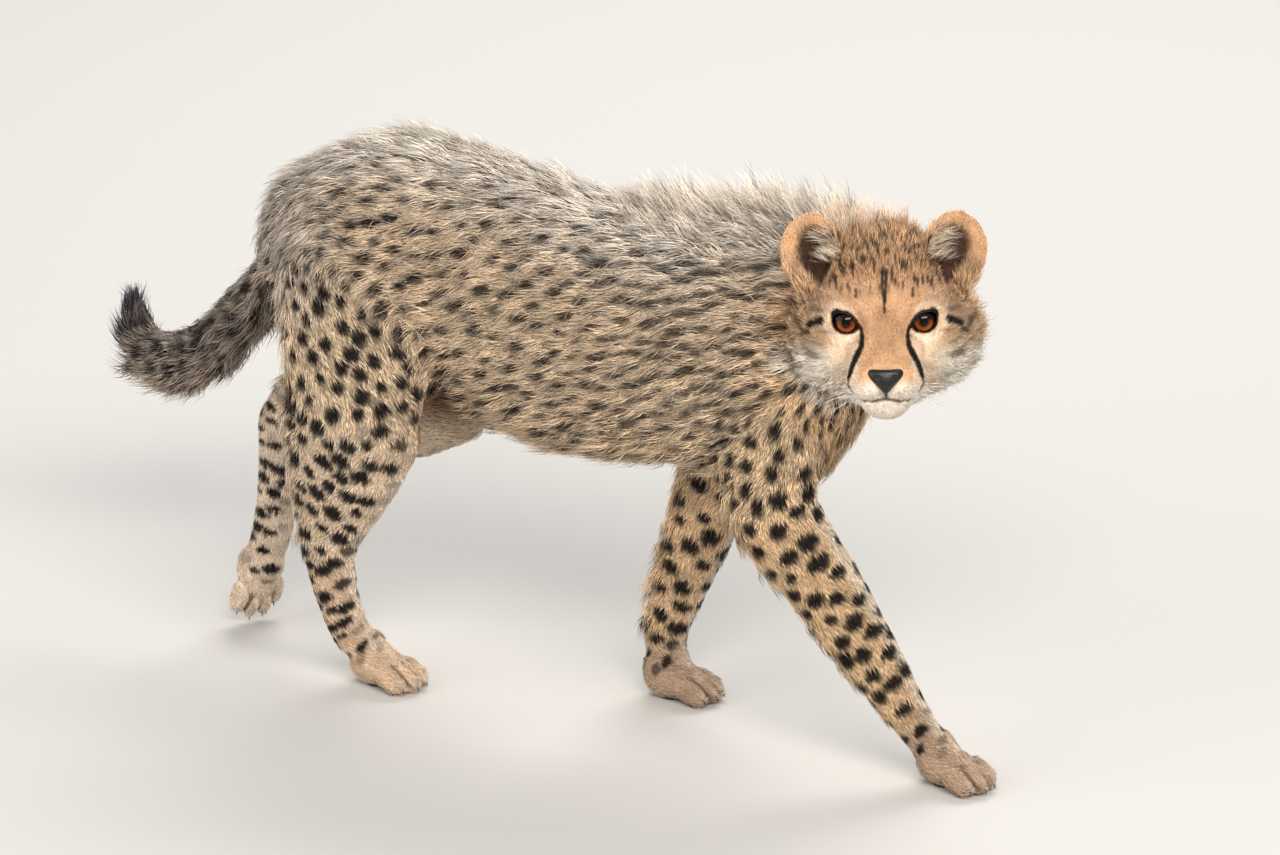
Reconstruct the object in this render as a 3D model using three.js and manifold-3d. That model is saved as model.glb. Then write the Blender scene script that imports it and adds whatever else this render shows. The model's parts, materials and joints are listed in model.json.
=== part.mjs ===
// A young cheetah walking, life size, with its head turned to its right. Millimetres.
// +X is the way it walks, +Y its left, +Z up. The origin is on the floor, below the middle of its box.
// The surfaces stand at the tips of the coat.
import * as THREE from "three";
import { mergeVertices } from "three/addons/utils/BufferGeometryUtils.js";
import Module from "manifold-3d";

const wasm = await Module();
wasm.setup();

// ---- Driving dimensions ----
const gap = 0.35; // between neighbouring pieces
const eyeRadius = 12.5;
const eyeSpacing = 53; // between the centres of the eyes
const apertureWide = 9.6; // half the opening between the lids
const apertureTall = 8.6;
const headAt = [412, -54, 350]; // midway between the eyes
const headTurn = -66.6; // degrees to the right of the way it walks
const headPitch = 6; // degrees that the muzzle points above level
const headRoll = 1.5; // degrees that the head leans towards its right ear
const earLength = 46;
const earWidth = 42;
const earThick = 5;
const pawLength = 64;
const pawWidth = 44;
const pressed = 1.2; // how far the round sole of a level paw is sunk, to be cut flat at the floor

// Faces round and along the tubes, and how finely the blended forms are divided
const trunkFaces = { around: 18, along: 18 };
const neckFaces = { around: 14, along: 6 };
const mantleFaces = { around: 10, along: 10 };
const tailFaces = { around: 10, along: 16 };
const limbFaces = { around: 12, along: 14 };
const headDetail = 7;
const pawDetail = 3;

const material = {
  coat: new THREE.MeshStandardMaterial({ color: 0xc9a177, roughness: 0.95, metalness: 0 }),
  longCoat: new THREE.MeshStandardMaterial({ color: 0xb5a692, roughness: 0.95, metalness: 0 }),
  eye: new THREE.MeshStandardMaterial({ color: 0x6b2d12, roughness: 0.08, metalness: 0 }),
  nose: new THREE.MeshStandardMaterial({ color: 0x0d0c10, roughness: 0.4, metalness: 0 }),
};

// ---- Where the joints are, at the middle of each limb. Places are measured from the floor beside the
// right hind paw, and the last lines move the whole to its origin. ----
const rightHind = {
  hip: [-22, -34, 350], thigh: [-10, -48, 288], knee: [-3, -56, 216], shank: [-17, -54, 156],
  heel: [-31, -47, 104], cannon: [-27, -42, 66], toes: [-14, -37, 28], paw: [9, -33, 0],
};
const leftHind = {
  hip: [-22, 34, 350], thigh: [-4, 48, 288], knee: [10, 56, 212], shank: [-46, 52, 180],
  heel: [-109, 45, 180], cannon: [-117, 42, 114], toes: [-125, 39, 62], paw: [-146, 44, 35],
};
const rightFore = {
  blade: [288, -34, 345], arm: [322, -44, 270], elbow: [323, -46, 196], forearm: [363, -44, 140],
  shin: [400, -41, 88], wrist: [428, -38, 48], toes: [446, -37, 24], paw: [462, -36, 0],
};
const leftFore = {
  blade: [282, 34, 345], arm: [290, 44, 262], elbow: [250, 46, 196], forearm: [229, 45, 136],
  shin: [211, 42, 84], wrist: [200, 39, 44], toes: [203, 37, 24], paw: [216, 36, 0],
};

// ---- Solids ----

/** A closed geometry as a manifold solid, with its faces turned round where they point in. */
function solidOf(geometry) {
  const g = geometry.clone();
  for (const name of Object.keys(g.attributes)) if (name !== "position") g.deleteAttribute(name);
  const merged = mergeVertices(g, 1e-3);
  const vertProperties = new Float32Array(merged.attributes.position.array);
  const build = (triVerts) => new wasm.Manifold(new wasm.Mesh({ numProp: 3, vertProperties, triVerts }));
  const triVerts = new Uint32Array(merged.index.array);
  const solid = build(triVerts);
  return solid.volume() > 0 ? solid : build(triVerts.reverse());
}

/** The largest body of a solid, without slivers that a cut left. */
function largest(solid) {
  return solid.decompose().sort((a, b) => b.volume() - a.volume())[0];
}

/** A named mesh of a solid. */
function meshOf(name, solid, finish) {
  const m = largest(solid).getMesh();
  const g = new THREE.BufferGeometry();
  g.setAttribute("position", new THREE.BufferAttribute(new Float32Array(m.vertProperties), 3));
  g.setIndex(new THREE.BufferAttribute(new Uint32Array(m.triVerts), 1));
  g.computeVertexNormals();
  const mesh = new THREE.Mesh(g, finish);
  mesh.name = name;
  return mesh;
}

/**
 * A closed tube through stations {at, wide, tall, dome}. Wide is half its size across the body, tall half its
 * size in the plane of its bend, and dome is how far an end stands out. Grow adds to the half sizes.
 */
function tube(stations, { around, along }, grow = 0) {
  const curve = (points) => new THREE.CatmullRomCurve3(points, false, "centripetal");
  const path = curve(stations.map(({ at }) => new THREE.Vector3(...at)));
  const sizes = curve(stations.map(({ wide, tall }) => new THREE.Vector3(wide, tall, 0)));
  const points = [];
  for (let i = 0; i <= along; i++) {
    const centre = path.getPoint(i / along);
    const way = path.getTangent(i / along);
    const size = sizes.getPoint(i / along);
    const side = new THREE.Vector3(0, 1, 0).addScaledVector(way, -way.y).normalize();
    const up = way.clone().cross(side);
    for (let j = 0; j < around; j++) {
      const angle = (j / around) * 2 * Math.PI;
      const point = centre.clone().addScaledVector(side, (size.x + grow) * Math.cos(angle));
      points.push(point.addScaledVector(up, (size.y + grow) * Math.sin(angle)));
    }
  }
  const start = points.length;
  for (const [end, sign] of [[0, -1], [1, 1]]) {
    const dome = (end === 0 ? stations[0] : stations.at(-1)).dome ?? 0;
    points.push(path.getPoint(end).addScaledVector(path.getTangent(end), sign * (dome + grow)));
  }
  const index = [];
  const last = along * around;
  for (let j = 0; j < around; j++) {
    const next = (j + 1) % around;
    for (let row = 0; row < last; row += around) {
      index.push(row + j, row + next, row + j + around);
      index.push(row + next, row + next + around, row + j + around);
    }
    index.push(start, next, j, start + 1, last + j, last + next);
  }
  return solidOf(new THREE.BufferGeometry().setFromPoints(points).setIndex(index));
}

// ---- Distance fields, for the forms that swell into each other ----

/** 0 at and before low, 1 at and past high, where low may be the larger. */
function smoothStep(low, high, x) {
  const t = THREE.MathUtils.clamp((x - low) / (high - low), 0, 1);
  return t * t * (3 - 2 * t);
}

/** Distance to an ellipsoid, near enough round its surface. */
function ellipsoid(p, [cx, cy, cz], [rx, ry, rz]) {
  const x = p.x - cx, y = p.y - cy, z = p.z - cz;
  const k0 = Math.hypot(x / rx, y / ry, z / rz);
  const k1 = Math.hypot(x / rx ** 2, y / ry ** 2, z / rz ** 2);
  return k1 < 1e-9 ? -Math.min(rx, ry, rz) : (k0 * (k0 - 1)) / k1;
}

/** Distance to a rod whose radius runs from one end's to the other's. */
function rod(p, [ax, ay, az], [bx, by, bz], r0, r1) {
  const ab = new THREE.Vector3(bx - ax, by - ay, bz - az);
  const ap = new THREE.Vector3(p.x - ax, p.y - ay, p.z - az);
  const t = THREE.MathUtils.clamp(ap.dot(ab) / ab.lengthSq(), 0, 1);
  return ap.addScaledVector(ab, -t).length() - (r0 + (r1 - r0) * t);
}

/** The union of two distances, blended over k. */
function blend(a, b, k) {
  const h = Math.max(k - Math.abs(a - b), 0) / k;
  return Math.min(a, b) - (h * h * k) / 4;
}

/** The first minus the second, blended over k. */
const carve = (a, b, k) => -blend(-a, b, k);

/** A ball shrunk on to the outermost surface of a distance field, along rays from a centre inside it. */
function wrap(field, centre, detail, reach) {
  const g = new THREE.IcosahedronGeometry(1, detail);
  const position = g.attributes.position;
  const from = new THREE.Vector3(...centre);
  const p = new THREE.Vector3();
  const ray = new THREE.Vector3();
  for (let i = 0; i < position.count; i++) {
    ray.fromBufferAttribute(position, i).normalize();
    let r = reach;
    for (let step = 0; step < 120; step++) {
      const d = field(p.copy(from).addScaledVector(ray, r));
      if (d < 0.01) break;
      r -= d * 0.7;
    }
    position.setXYZ(i, ...p.toArray());
  }
  return g;
}

// ---- Head: x forward along the muzzle, y its left, z up, from midway between the eyes ----

const headFrame = new THREE.Matrix4().makeRotationZ(THREE.MathUtils.degToRad(headTurn))
  .multiply(new THREE.Matrix4().makeRotationY(THREE.MathUtils.degToRad(-headPitch)))
  .multiply(new THREE.Matrix4().makeRotationX(THREE.MathUtils.degToRad(headRoll)))
  .setPosition(...headAt);

/** The head without ears, at the tips of its coat. */
function headField(p) {
  const q = p.clone();
  q.y = Math.abs(q.y);
  let d = ellipsoid(q, [-34, 0, 12], [46, 43, 40]); // braincase
  d = blend(d, ellipsoid(q, [-6, 13, 12], [20, 22, 21]), 16); // forehead and brows
  d = blend(d, ellipsoid(q, [-14, 34, -16], [30, 24, 27]), 14); // cheek
  d = blend(d, ellipsoid(q, [-34, 35, -18], [26, 21, 26.5]), 14); // ruff
  d = blend(d, rod(q, [6, 0, 4], [42, 0, -19], 13, 10.5), 12); // bridge of the nose
  d = blend(d, ellipsoid(q, [36, 12, -34], [17, 14.5, 13.5]), 8); // whisker pad
  d = blend(d, rod(q, [-26, 20, -40], [28, 6, -49], 17, 11), 12); // jaw
  d = blend(d, ellipsoid(q, [33, 0, -52], [12, 12, 11]), 7); // chin
  d = carve(d, ellipsoid(q, [20, eyeSpacing / 2 + 1, 0], [14, 12.5, 10]), 7); // hollow of the eye
  const coat = THREE.MathUtils.lerp(11, 2.5, smoothStep(-34, 26, p.x));
  return d - coat;
}

const noseAt = [50.5, 0, -29.5];

function eyeBall(centre, grow = 0) {
  const g = new THREE.SphereGeometry(eyeRadius + grow, 12, 8);
  return solidOf(g.translate(...centre));
}

/** The opening between the lids, as a plug in front of the eye. */
function aperture([x, y, z]) {
  const g = new THREE.SphereGeometry(1, 10, 6);
  return solidOf(g.scale(9, apertureWide, apertureTall).translate(x + eyeRadius - 2, y, z));
}

/** The bare nose pad: a rounded block, wide above, narrowing to the lip. */
function nosePad(grow = 0) {
  const [deep, half, tall] = [6.5, 13.4, 9].map((size) => size + 1.4 * grow);
  const g = new THREE.SphereGeometry(1, 12, 8);
  const position = g.attributes.position;
  for (let i = 0; i < position.count; i++) {
    const [x, y, z] = new THREE.Vector3().fromBufferAttribute(position, i).toArray();
    const narrowing = 1 - 0.42 * smoothStep(0.45, -0.9, z);
    position.setXYZ(i, deep * x, half * y * narrowing, tall * z);
  }
  g.rotateY(-0.25);
  return solidOf(g.translate(...noseAt));
}

/** A cupped ear of even thickness: rows up its length, columns across it, on a front and a back sheet. */
function ear(sign, grow = 0) {
  const rows = 6;
  const columns = 8;
  const width = columns + 1;
  const points = [];
  for (const side of [1, -1]) {
    for (let i = 0; i <= rows; i++) {
      const up = i / rows;
      const rounding = Math.max(0, (up - 0.45) / 0.55) ** 2.2;
      const half = (earWidth / 2 + grow) * Math.sqrt(Math.max(0.06, 1 - rounding));
      for (let j = 0; j <= columns; j++) {
        const over = (2 * j) / columns - 1;
        const cup = 15 * (1 - 0.55 * up) * (over ** 2 - 0.5);
        const thick = (earThick / 2 + grow) * (1 - 0.5 * over ** 6);
        const height = (earLength + grow) * (up - 0.12);
        points.push(new THREE.Vector3(cup + side * thick, half * over * (0.93 + 0.07 * up), height));
      }
    }
  }
  const back = (rows + 1) * width;
  const index = [];
  const quad = (a, b, c, d) => index.push(a, b, c, a, c, d);
  for (let i = 0; i < rows; i++) {
    for (let j = 0; j < columns; j++) {
      const a = i * width + j;
      quad(a, a + 1, a + 1 + width, a + width);
      quad(back + a, back + a + width, back + a + 1 + width, back + a + 1);
    }
    const left = i * width;
    const right = left + columns;
    quad(left, left + width, back + left + width, back + left);
    quad(right, back + right, back + right + width, right + width);
  }
  for (let j = 0; j < columns; j++) {
    const top = rows * width + j;
    quad(j, back + j, back + j + 1, j + 1);
    quad(top, top + 1, back + top + 1, back + top);
  }
  const place = new THREE.Matrix4().makeTranslation(-27, sign * 46, 33)
    .multiply(new THREE.Matrix4().makeRotationX(-sign * 0.36))
    .multiply(new THREE.Matrix4().makeRotationZ(sign * 0.3))
    .multiply(new THREE.Matrix4().makeRotationY(-0.16));
  return solidOf(new THREE.BufferGeometry().setFromPoints(points).setIndex(index).applyMatrix4(place));
}

/** A solid moved from the head's own frame into the body's. */
const fromHead = (solid) => solid.transform(headFrame.elements);

// ---- Paws: x towards the toes, z up from the sole ----

function pawField(p) {
  const long = pawLength / 64;
  const wide = pawWidth / 44;
  let d = ellipsoid(p, [-6 * long, 0, 15], [21 * long, 16 * wide, 14]);
  d = blend(d, ellipsoid(p, [-16 * long, 0, 24], [14, 13.5 * wide, 18]), 8);
  for (const [i, y] of [-15, -5.4, 5.4, 15].entries()) {
    const inner = i === 1 || i === 2;
    const tip = [(inner ? 22 : 16) * long, y * wide, 8.5];
    d = blend(d, rod(p, [4 * long, y * 0.8 * wide, 13], tip, 8, 7.6), 2.5);
  }
  return d - 1.5;
}

/** A paw with its sole at a place, its toes turned by yaw, and pitched down by pitch, in degrees. */
function paw(at, yaw, pitch) {
  const g = wrap(pawField, [-2, 0, 14], pawDetail, 60);
  g.rotateY(THREE.MathUtils.degToRad(pitch)).rotateZ(THREE.MathUtils.degToRad(yaw)).translate(...at);
  return solidOf(g);
}

// ---- The body ----

const trunkStations = [
  { at: [-100, 0, 305], wide: 23, tall: 27, dome: 7 },
  { at: [-72, 0, 325], wide: 44, tall: 52 },
  { at: [-36, 0, 337], wide: 58, tall: 68 },
  { at: [4, 0, 340], wide: 65, tall: 85 },
  { at: [50, 0, 328], wide: 66, tall: 95 },
  { at: [110, 0, 302], wide: 69, tall: 108 },
  { at: [175, 0, 293], wide: 73, tall: 104 },
  { at: [240, 0, 294], wide: 76, tall: 98 },
  { at: [300, 0, 291], wide: 72, tall: 98 },
  { at: [340, 0, 276], wide: 63, tall: 87 },
  { at: [364, 0, 264], wide: 50, tall: 77 },
  { at: [378, 0, 258], wide: 30, tall: 54, dome: 7 },
];

const neckStations = [
  { at: [292, 0, 328], wide: 60, tall: 72, dome: 4 },
  { at: [332, -1, 334], wide: 58, tall: 68 },
  { at: [366, -2, 338], wide: 52, tall: 62 },
  { at: [392, -14, 341], wide: 46, tall: 54, dome: 4 },
];

const mantleStations = [
  { at: [210, 2, 390], wide: 14, tall: 10, dome: 6 },
  { at: [246, 3, 396], wide: 26, tall: 27 },
  { at: [290, 3, 400], wide: 30, tall: 31 },
  { at: [330, 2, 402], wide: 28, tall: 30 },
  { at: [362, 3, 402], wide: 22, tall: 22 },
  { at: [384, 6, 398], wide: 12, tall: 10, dome: 6 },
];

const tailStations = [
  { at: [-78, 0, 312], wide: 24, tall: 27, dome: 4 },
  { at: [-101, 3, 287], wide: 24, tall: 27 },
  { at: [-126, 10, 258], wide: 25, tall: 28 },
  { at: [-151, 18, 231], wide: 26, tall: 28 },
  { at: [-179, 28, 210], wide: 27, tall: 28 },
  { at: [-205, 38, 199], wide: 27, tall: 27 },
  { at: [-229, 46, 202], wide: 25, tall: 25 },
  { at: [-243, 53, 216], wide: 22, tall: 22 },
  { at: [-245, 57, 236], wide: 15, tall: 15, dome: 9 },
];

/** Half sizes down a hind leg, from the hip to the toes. */
const hindSizes = {
  hip: [30, 56], thigh: [32, 62], knee: [29, 59], shank: [22, 43], heel: [15, 24], cannon: [14, 20],
  toes: [16, 18],
};
const foreSizes = {
  blade: [26, 44], arm: [30, 44], elbow: [25, 34], forearm: [22, 28], shin: [18, 23], wrist: [16, 18],
  toes: [16, 16],
};
const reachingSizes = { ...foreSizes, elbow: [25, 37], forearm: [22, 31], shin: [18, 25] };

const limbStations = (joints, sizes) =>
  Object.entries(sizes).map(([name, [wide, tall]]) => ({ at: joints[name], wide, tall }));

/** A leg with its paw, clear of the trunk and the head, and cut flat where it meets the floor. */
function leg(joints, sizes, { yaw, pitch = 0 }) {
  const limb = tube(limbStations(joints, sizes), limbFaces);
  const [x, y, z] = joints.paw;
  const foot = paw([x, y, pitch === 0 ? z - pressed : z], yaw, pitch);
  return limb.add(foot).subtract(trunkClear).subtract(headClear).trimByPlane([0, 0, 1], 0);
}

/** A solid parted at planes through named points, square to the ways given, from its first piece on. */
function parted(solid, cuts) {
  const pieces = [];
  let rest = solid;
  for (const { at, way } of cuts) {
    const n = new THREE.Vector3(...way).normalize();
    const offset = n.dot(new THREE.Vector3(...at));
    pieces.push(rest.trimByPlane(n.clone().negate().toArray(), -offset + gap / 2));
    rest = rest.trimByPlane(n.toArray(), offset + gap / 2);
  }
  return [...pieces, rest];
}

/** The way a path runs at its middle point of three. */
function bisector(a, b, c) {
  const [p, q, r] = [a, b, c].map((v) => new THREE.Vector3(...v));
  const before = q.clone().sub(p).normalize();
  return before.add(r.sub(q).normalize()).toArray();
}

/** A solid clear of each of its neighbours. */
const clearOf = (solid, neighbours) => neighbours.reduce((rest, other) => rest.subtract(other), solid);

const cheetah = new THREE.Group();
const body = new THREE.Group();
cheetah.add(body);
const add = (name, solid, finish = material.coat) => body.add(meshOf(name, solid, finish));

// Head, with its eyes, nose and ears
const headShape = (grow) =>
  fromHead(solidOf(wrap((p) => headField(p) - grow, [-14, 0, -10], headDetail, 140)));
const headClear = headShape(gap);
const earClear = [];
let head = headShape(0).subtract(fromHead(nosePad(gap)));
for (const [side, sign] of [["left", 1], ["right", -1]]) {
  const centre = [0, (sign * eyeSpacing) / 2, 0];
  head = clearOf(head, [fromHead(eyeBall(centre, gap)), fromHead(aperture(centre))]);
  add(`eye_${side}`, fromHead(eyeBall(centre)), material.eye);
  add(`ear_${side}`, fromHead(ear(sign)).subtract(headClear));
  earClear.push(fromHead(ear(sign, gap)));
}
add("head", head);
add("nose", fromHead(nosePad()), material.nose);

// Trunk and legs
const trunkClear = tube(trunkStations, trunkFaces, gap);
add("trunk", tube(trunkStations, trunkFaces).subtract(headClear));
const legs = {
  right: { hind: [rightHind, { yaw: -4 }], fore: [rightFore, { yaw: -8 }], arm: reachingSizes },
  left: { hind: [leftHind, { yaw: -30, pitch: 86 }], fore: [leftFore, { yaw: 4 }], arm: foreSizes },
};
const foreClear = [];
for (const [side, { hind: [h, hindPaw], fore: [f, forePaw], arm }] of Object.entries(legs)) {
  foreClear.push(tube(limbStations(f, arm), limbFaces, gap));
  const [thigh, shank, hindFoot] = parted(leg(h, hindSizes, hindPaw), [
    { at: h.knee, way: bisector(h.thigh, h.knee, h.shank) },
    { at: h.heel, way: bisector(h.shank, h.heel, h.cannon) },
  ]);
  const [upperArm, forearm, forefoot] = parted(leg(f, arm, forePaw), [
    { at: f.elbow, way: bisector(f.arm, f.elbow, f.forearm) },
    { at: f.wrist, way: bisector(f.shin, f.wrist, f.toes) },
  ]);
  add(`thigh_${side}`, thigh);
  add(`shank_${side}`, shank);
  add(`hind_foot_${side}`, hindFoot);
  add(`upper_arm_${side}`, upperArm);
  add(`forearm_${side}`, forearm);
  add(`forefoot_${side}`, forefoot);
}

// Neck, with the mantle of long hair over it
const upperNeighbours = [trunkClear, headClear, ...foreClear, ...earClear];
const neckClear = tube(neckStations, neckFaces, gap);
add("neck", clearOf(tube(neckStations, neckFaces), upperNeighbours));
add("mantle", clearOf(tube(mantleStations, mantleFaces), [neckClear, ...upperNeighbours]), material.longCoat);

// Tail
const tail = tube(tailStations, tailFaces).subtract(trunkClear);
const tailPoints = tailStations.map(({ at }) => at);
const tailCuts = [3, 6].map((i) => ({ at: tailPoints[i], way: bisector(...tailPoints.slice(i - 1, i + 2)) }));
const [tailBase, tailMiddle, tailTip] = parted(tail, tailCuts);
add("tail_base", tailBase);
add("tail_middle", tailMiddle);
add("tail_tip", tailTip, material.longCoat);

const box = new THREE.Box3().setFromObject(body);
body.position.set(-(box.min.x + box.max.x) / 2, -(box.min.y + box.max.y) / 2, 0);

export default cheetah;
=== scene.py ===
import json
import math

import bmesh
import bpy
import numpy as np
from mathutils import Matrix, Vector
from mathutils.bvhtree import BVHTree
from mathutils.kdtree import KDTree


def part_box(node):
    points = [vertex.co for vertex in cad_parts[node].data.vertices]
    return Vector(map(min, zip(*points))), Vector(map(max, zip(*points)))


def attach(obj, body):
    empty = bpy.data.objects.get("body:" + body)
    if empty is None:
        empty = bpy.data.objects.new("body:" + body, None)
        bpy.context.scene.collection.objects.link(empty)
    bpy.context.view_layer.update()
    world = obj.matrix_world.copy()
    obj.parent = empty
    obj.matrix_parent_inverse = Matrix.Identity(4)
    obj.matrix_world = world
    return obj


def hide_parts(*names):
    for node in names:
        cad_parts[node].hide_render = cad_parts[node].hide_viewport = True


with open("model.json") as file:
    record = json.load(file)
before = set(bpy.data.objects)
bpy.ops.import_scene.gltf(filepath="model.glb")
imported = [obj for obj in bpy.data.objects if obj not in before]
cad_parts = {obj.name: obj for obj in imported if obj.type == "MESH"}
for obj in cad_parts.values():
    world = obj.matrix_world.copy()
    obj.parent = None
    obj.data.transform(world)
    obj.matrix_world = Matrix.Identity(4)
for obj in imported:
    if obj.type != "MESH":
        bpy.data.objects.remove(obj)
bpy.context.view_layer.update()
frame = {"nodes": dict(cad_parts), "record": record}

# A young cheetah walking with its head turned to its right: skin, coat, eyes, nose, whiskers and claws
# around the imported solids, which stand at the tips of the coat. Metres, as the solids are.
# The head, the ears and the paws are shaped in millimetres, each in its own frame.
cad = frame["nodes"]
mm = 0.001
seed = 7


def unit(a):
    return a / np.maximum(np.linalg.norm(a, axis=-1, keepdims=True), 1e-12)


def smoothStep(low, high, x):
    t = np.clip((x - low) / (high - low), 0, 1)
    return t * t * (3 - 2 * t)


def mix(a, b, t):
    return a + (b - a) * t


# Distances to round shapes, negative inside, for an array of points
def ellipsoid(p, centre, radii):
    q = p - np.array(centre, float)
    near = np.linalg.norm(q / radii, axis=1)
    slope = np.linalg.norm(q / np.square(np.array(radii, float)), axis=1)
    return near * (near - 1) / np.maximum(slope, 1e-9)


def rod(p, start, end, r0, r1):
    a = np.array(start, float)
    ab = np.array(end, float) - a
    t = np.clip((p - a) @ ab / (ab @ ab), 0, 1)
    return np.linalg.norm(p - a - t[:, None] * ab, axis=1) - (r0 + (r1 - r0) * t)


def chain(p, points, radii):
    d = np.full(len(p), 1e3)
    for start, end, r0, r1 in zip(points, points[1:], radii, radii[1:]):
        d = np.minimum(d, rod(p, start, end, r0, r1))
    return d


def blend(a, b, k):
    h = np.maximum(k - np.abs(a - b), 0) / k
    return np.minimum(a, b) - h * h * k / 4


def carve(a, b, k):
    return -blend(-a, b, k)


# Fills corners where two sheets of a surface would touch along an edge of the grid
def untangled(value):
    inside = value < 0
    for _ in range(6):
        before = inside.sum()
        for u, v in ((0, 1), (1, 2), (0, 2)):
            corner = []
            for du, dv in ((0, 0), (1, 0), (0, 1), (1, 1)):
                part = [slice(None)] * 3
                part[u] = slice(du, inside.shape[u] - 1 + du)
                part[v] = slice(dv, inside.shape[v] - 1 + dv)
                corner.append((inside[tuple(part)], tuple(part)))
            (a, _), (b, _), (c, _), (d, _) = corner
            touching = (a == d) & (b == c) & (a != b)
            for _, part in corner:
                inside[part] |= touching
        if inside.sum() == before:
            break
    return np.where(inside & (value >= 0), -0.05, value)


# A closed mesh of quads where a field of distances crosses zero, one point in each crossed cell
def surfaceNet(field, low, high, step):
    axes = [np.arange(l, h + step, step) for l, h in zip(low, high)]
    grid = np.stack(np.meshgrid(*axes, indexing="ij"), -1)
    value = untangled(field(grid.reshape(-1, 3)).reshape(grid.shape[:3]))
    cells = tuple(n - 1 for n in value.shape)
    total = np.zeros(cells + (3,))
    count = np.zeros(cells, np.int32)
    crossed = []
    for axis in range(3):
        u, v = [i for i in range(3) if i != axis]
        a = np.take(value, range(cells[axis]), axis)
        b = np.take(value, range(1, cells[axis] + 1), axis)
        cut = (a < 0) != (b < 0)
        point = np.take(grid, range(cells[axis]), axis).copy()
        point[..., axis] += step * np.where(cut, a / np.where(cut, a - b, 1), 0)
        crossed.append((cut, a < 0))
        for du in (0, 1):
            for dv in (0, 1):
                part = [slice(None)] * 3
                part[u] = slice(du, cells[u] + du)
                part[v] = slice(dv, cells[v] + dv)
                here = cut[tuple(part)]
                total += point[tuple(part)] * here[..., None]
                count += here
    number = np.cumsum(count.ravel() > 0).reshape(cells) - 1
    points = total[count > 0] / count[count > 0][:, None]
    quads = []
    for axis, (cut, inside) in enumerate(crossed):
        u, v = (axis + 1) % 3, (axis + 2) % 3
        at = np.argwhere(cut)
        at = at[(at[:, u] > 0) & (at[:, v] > 0) & (at[:, u] < cells[u]) & (at[:, v] < cells[v])]
        corners = []
        for du, dv in ((1, 1), (0, 1), (0, 0), (1, 0)):
            cell = at.copy()
            cell[:, u] -= du
            cell[:, v] -= dv
            corners.append(number[tuple(cell.T)])
        quad = np.stack(corners, 1)
        outward = inside[tuple(at.T)]
        quads.append(np.where(outward[:, None], quad, quad[:, ::-1]))
    return points, np.concatenate(quads)


def rawMesh(name, points, faces):
    mesh = bpy.data.meshes.new(name)
    mesh.vertices.add(len(points))
    mesh.vertices.foreach_set("co", np.asarray(points, np.float32).ravel())
    mesh.loops.add(faces.size)
    mesh.loops.foreach_set("vertex_index", np.asarray(faces, np.int32).ravel())
    mesh.polygons.add(len(faces))
    mesh.polygons.foreach_set("loop_start", np.arange(0, faces.size, faces.shape[1], dtype=np.int32))
    mesh.update(calc_edges=True)
    return mesh


def place(name, mesh):
    piece = bpy.data.objects.new(name, mesh)
    bpy.context.scene.collection.objects.link(piece)
    return piece


def pointsOf(mesh):
    flat = np.zeros(len(mesh.vertices) * 3, np.float32)
    mesh.vertices.foreach_get("co", flat)
    return flat.reshape(-1, 3).astype(float)


def setPoints(mesh, points):
    mesh.vertices.foreach_set("co", points.astype(np.float32).ravel())
    mesh.update()


def normalsOf(mesh):
    flat = np.zeros(len(mesh.vertices) * 3, np.float32)
    mesh.vertex_normals.foreach_get("vector", flat)
    return flat.reshape(-1, 3).astype(float)


def edgesOf(mesh):
    flat = np.zeros(len(mesh.edges) * 2, np.int32)
    mesh.edges.foreach_get("vertices", flat)
    return flat.reshape(-1, 2)


# Values at the points of a mesh, each drawn towards the mean of its neighbours
def relaxed(values, edges, rounds, pull=0.6):
    a, b = edges.T
    count = np.bincount(a, minlength=len(values)) + np.bincount(b, minlength=len(values))
    count = np.maximum(count, 1)
    columns = values.reshape(len(values), -1).copy()
    for _ in range(rounds):
        for i in range(columns.shape[1]):
            c = columns[:, i]
            around = np.bincount(a, c[b], len(c)) + np.bincount(b, c[a], len(c))
            columns[:, i] = c + pull * (around / count - c)
    return columns.reshape(values.shape)


# The head's frame from the eyes and the nose: x forward along the muzzle, y its left, z up
noseAt = np.array([50.5, 0, -29.5])
eyeAt = np.array([0, 26.5, 0])
eyeRadius = 12.5


def middle(node):
    low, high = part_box(node)
    return (np.array(low) + np.array(high)) / 2


def headAxes():
    left, right = middle("eye_left"), middle("eye_right")
    y = unit(left - right)
    toNose = middle("nose") - (left + right) / 2
    ahead = unit(toNose - y * (toNose @ y))
    up = np.cross(ahead, y)
    dip = math.atan2(-noseAt[2], noseAt[0])
    x = ahead * math.cos(dip) + up * math.sin(dip)
    return (left + right) / 2, np.array([x, y, np.cross(x, y)])


headAt, headWay = headAxes()


def fromHead(points):
    return headAt + mm * np.asarray(points, float) @ headWay


def toHead(points):
    return (points - headAt) @ headWay.T / mm


# How far the face is seen from straight before it: sideways, and up a plane that leans back
def faceView(h):
    return np.abs(h[:, 1]), 0.97 * h[:, 2] - 0.242 * h[:, 0]


print("stage: frame loaded, head at", np.round(headAt, 4))

# Eyelids: an almond opening in a shell over the ball, its outer corner raised
lids = {
    "shell": 13.6, "halfWidth": 9.5, "halfHeight": 7.3, "tilt": 28, "turnOut": 9, "turnUp": 3,
}


def unturned(p, centre, turnOut, turnUp, roll):
    q = p - centre
    a, b, c = (math.radians(v) for v in (turnOut, turnUp, roll))
    ahead = np.array([math.cos(a) * math.cos(b), math.sin(a) * math.cos(b), math.sin(b)])
    side = np.array([-math.sin(a), math.cos(a), 0])
    up = np.cross(ahead, side)
    across = side * math.cos(c) + up * math.sin(c)
    return q @ ahead, q @ across, q @ np.cross(ahead, across)


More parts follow.
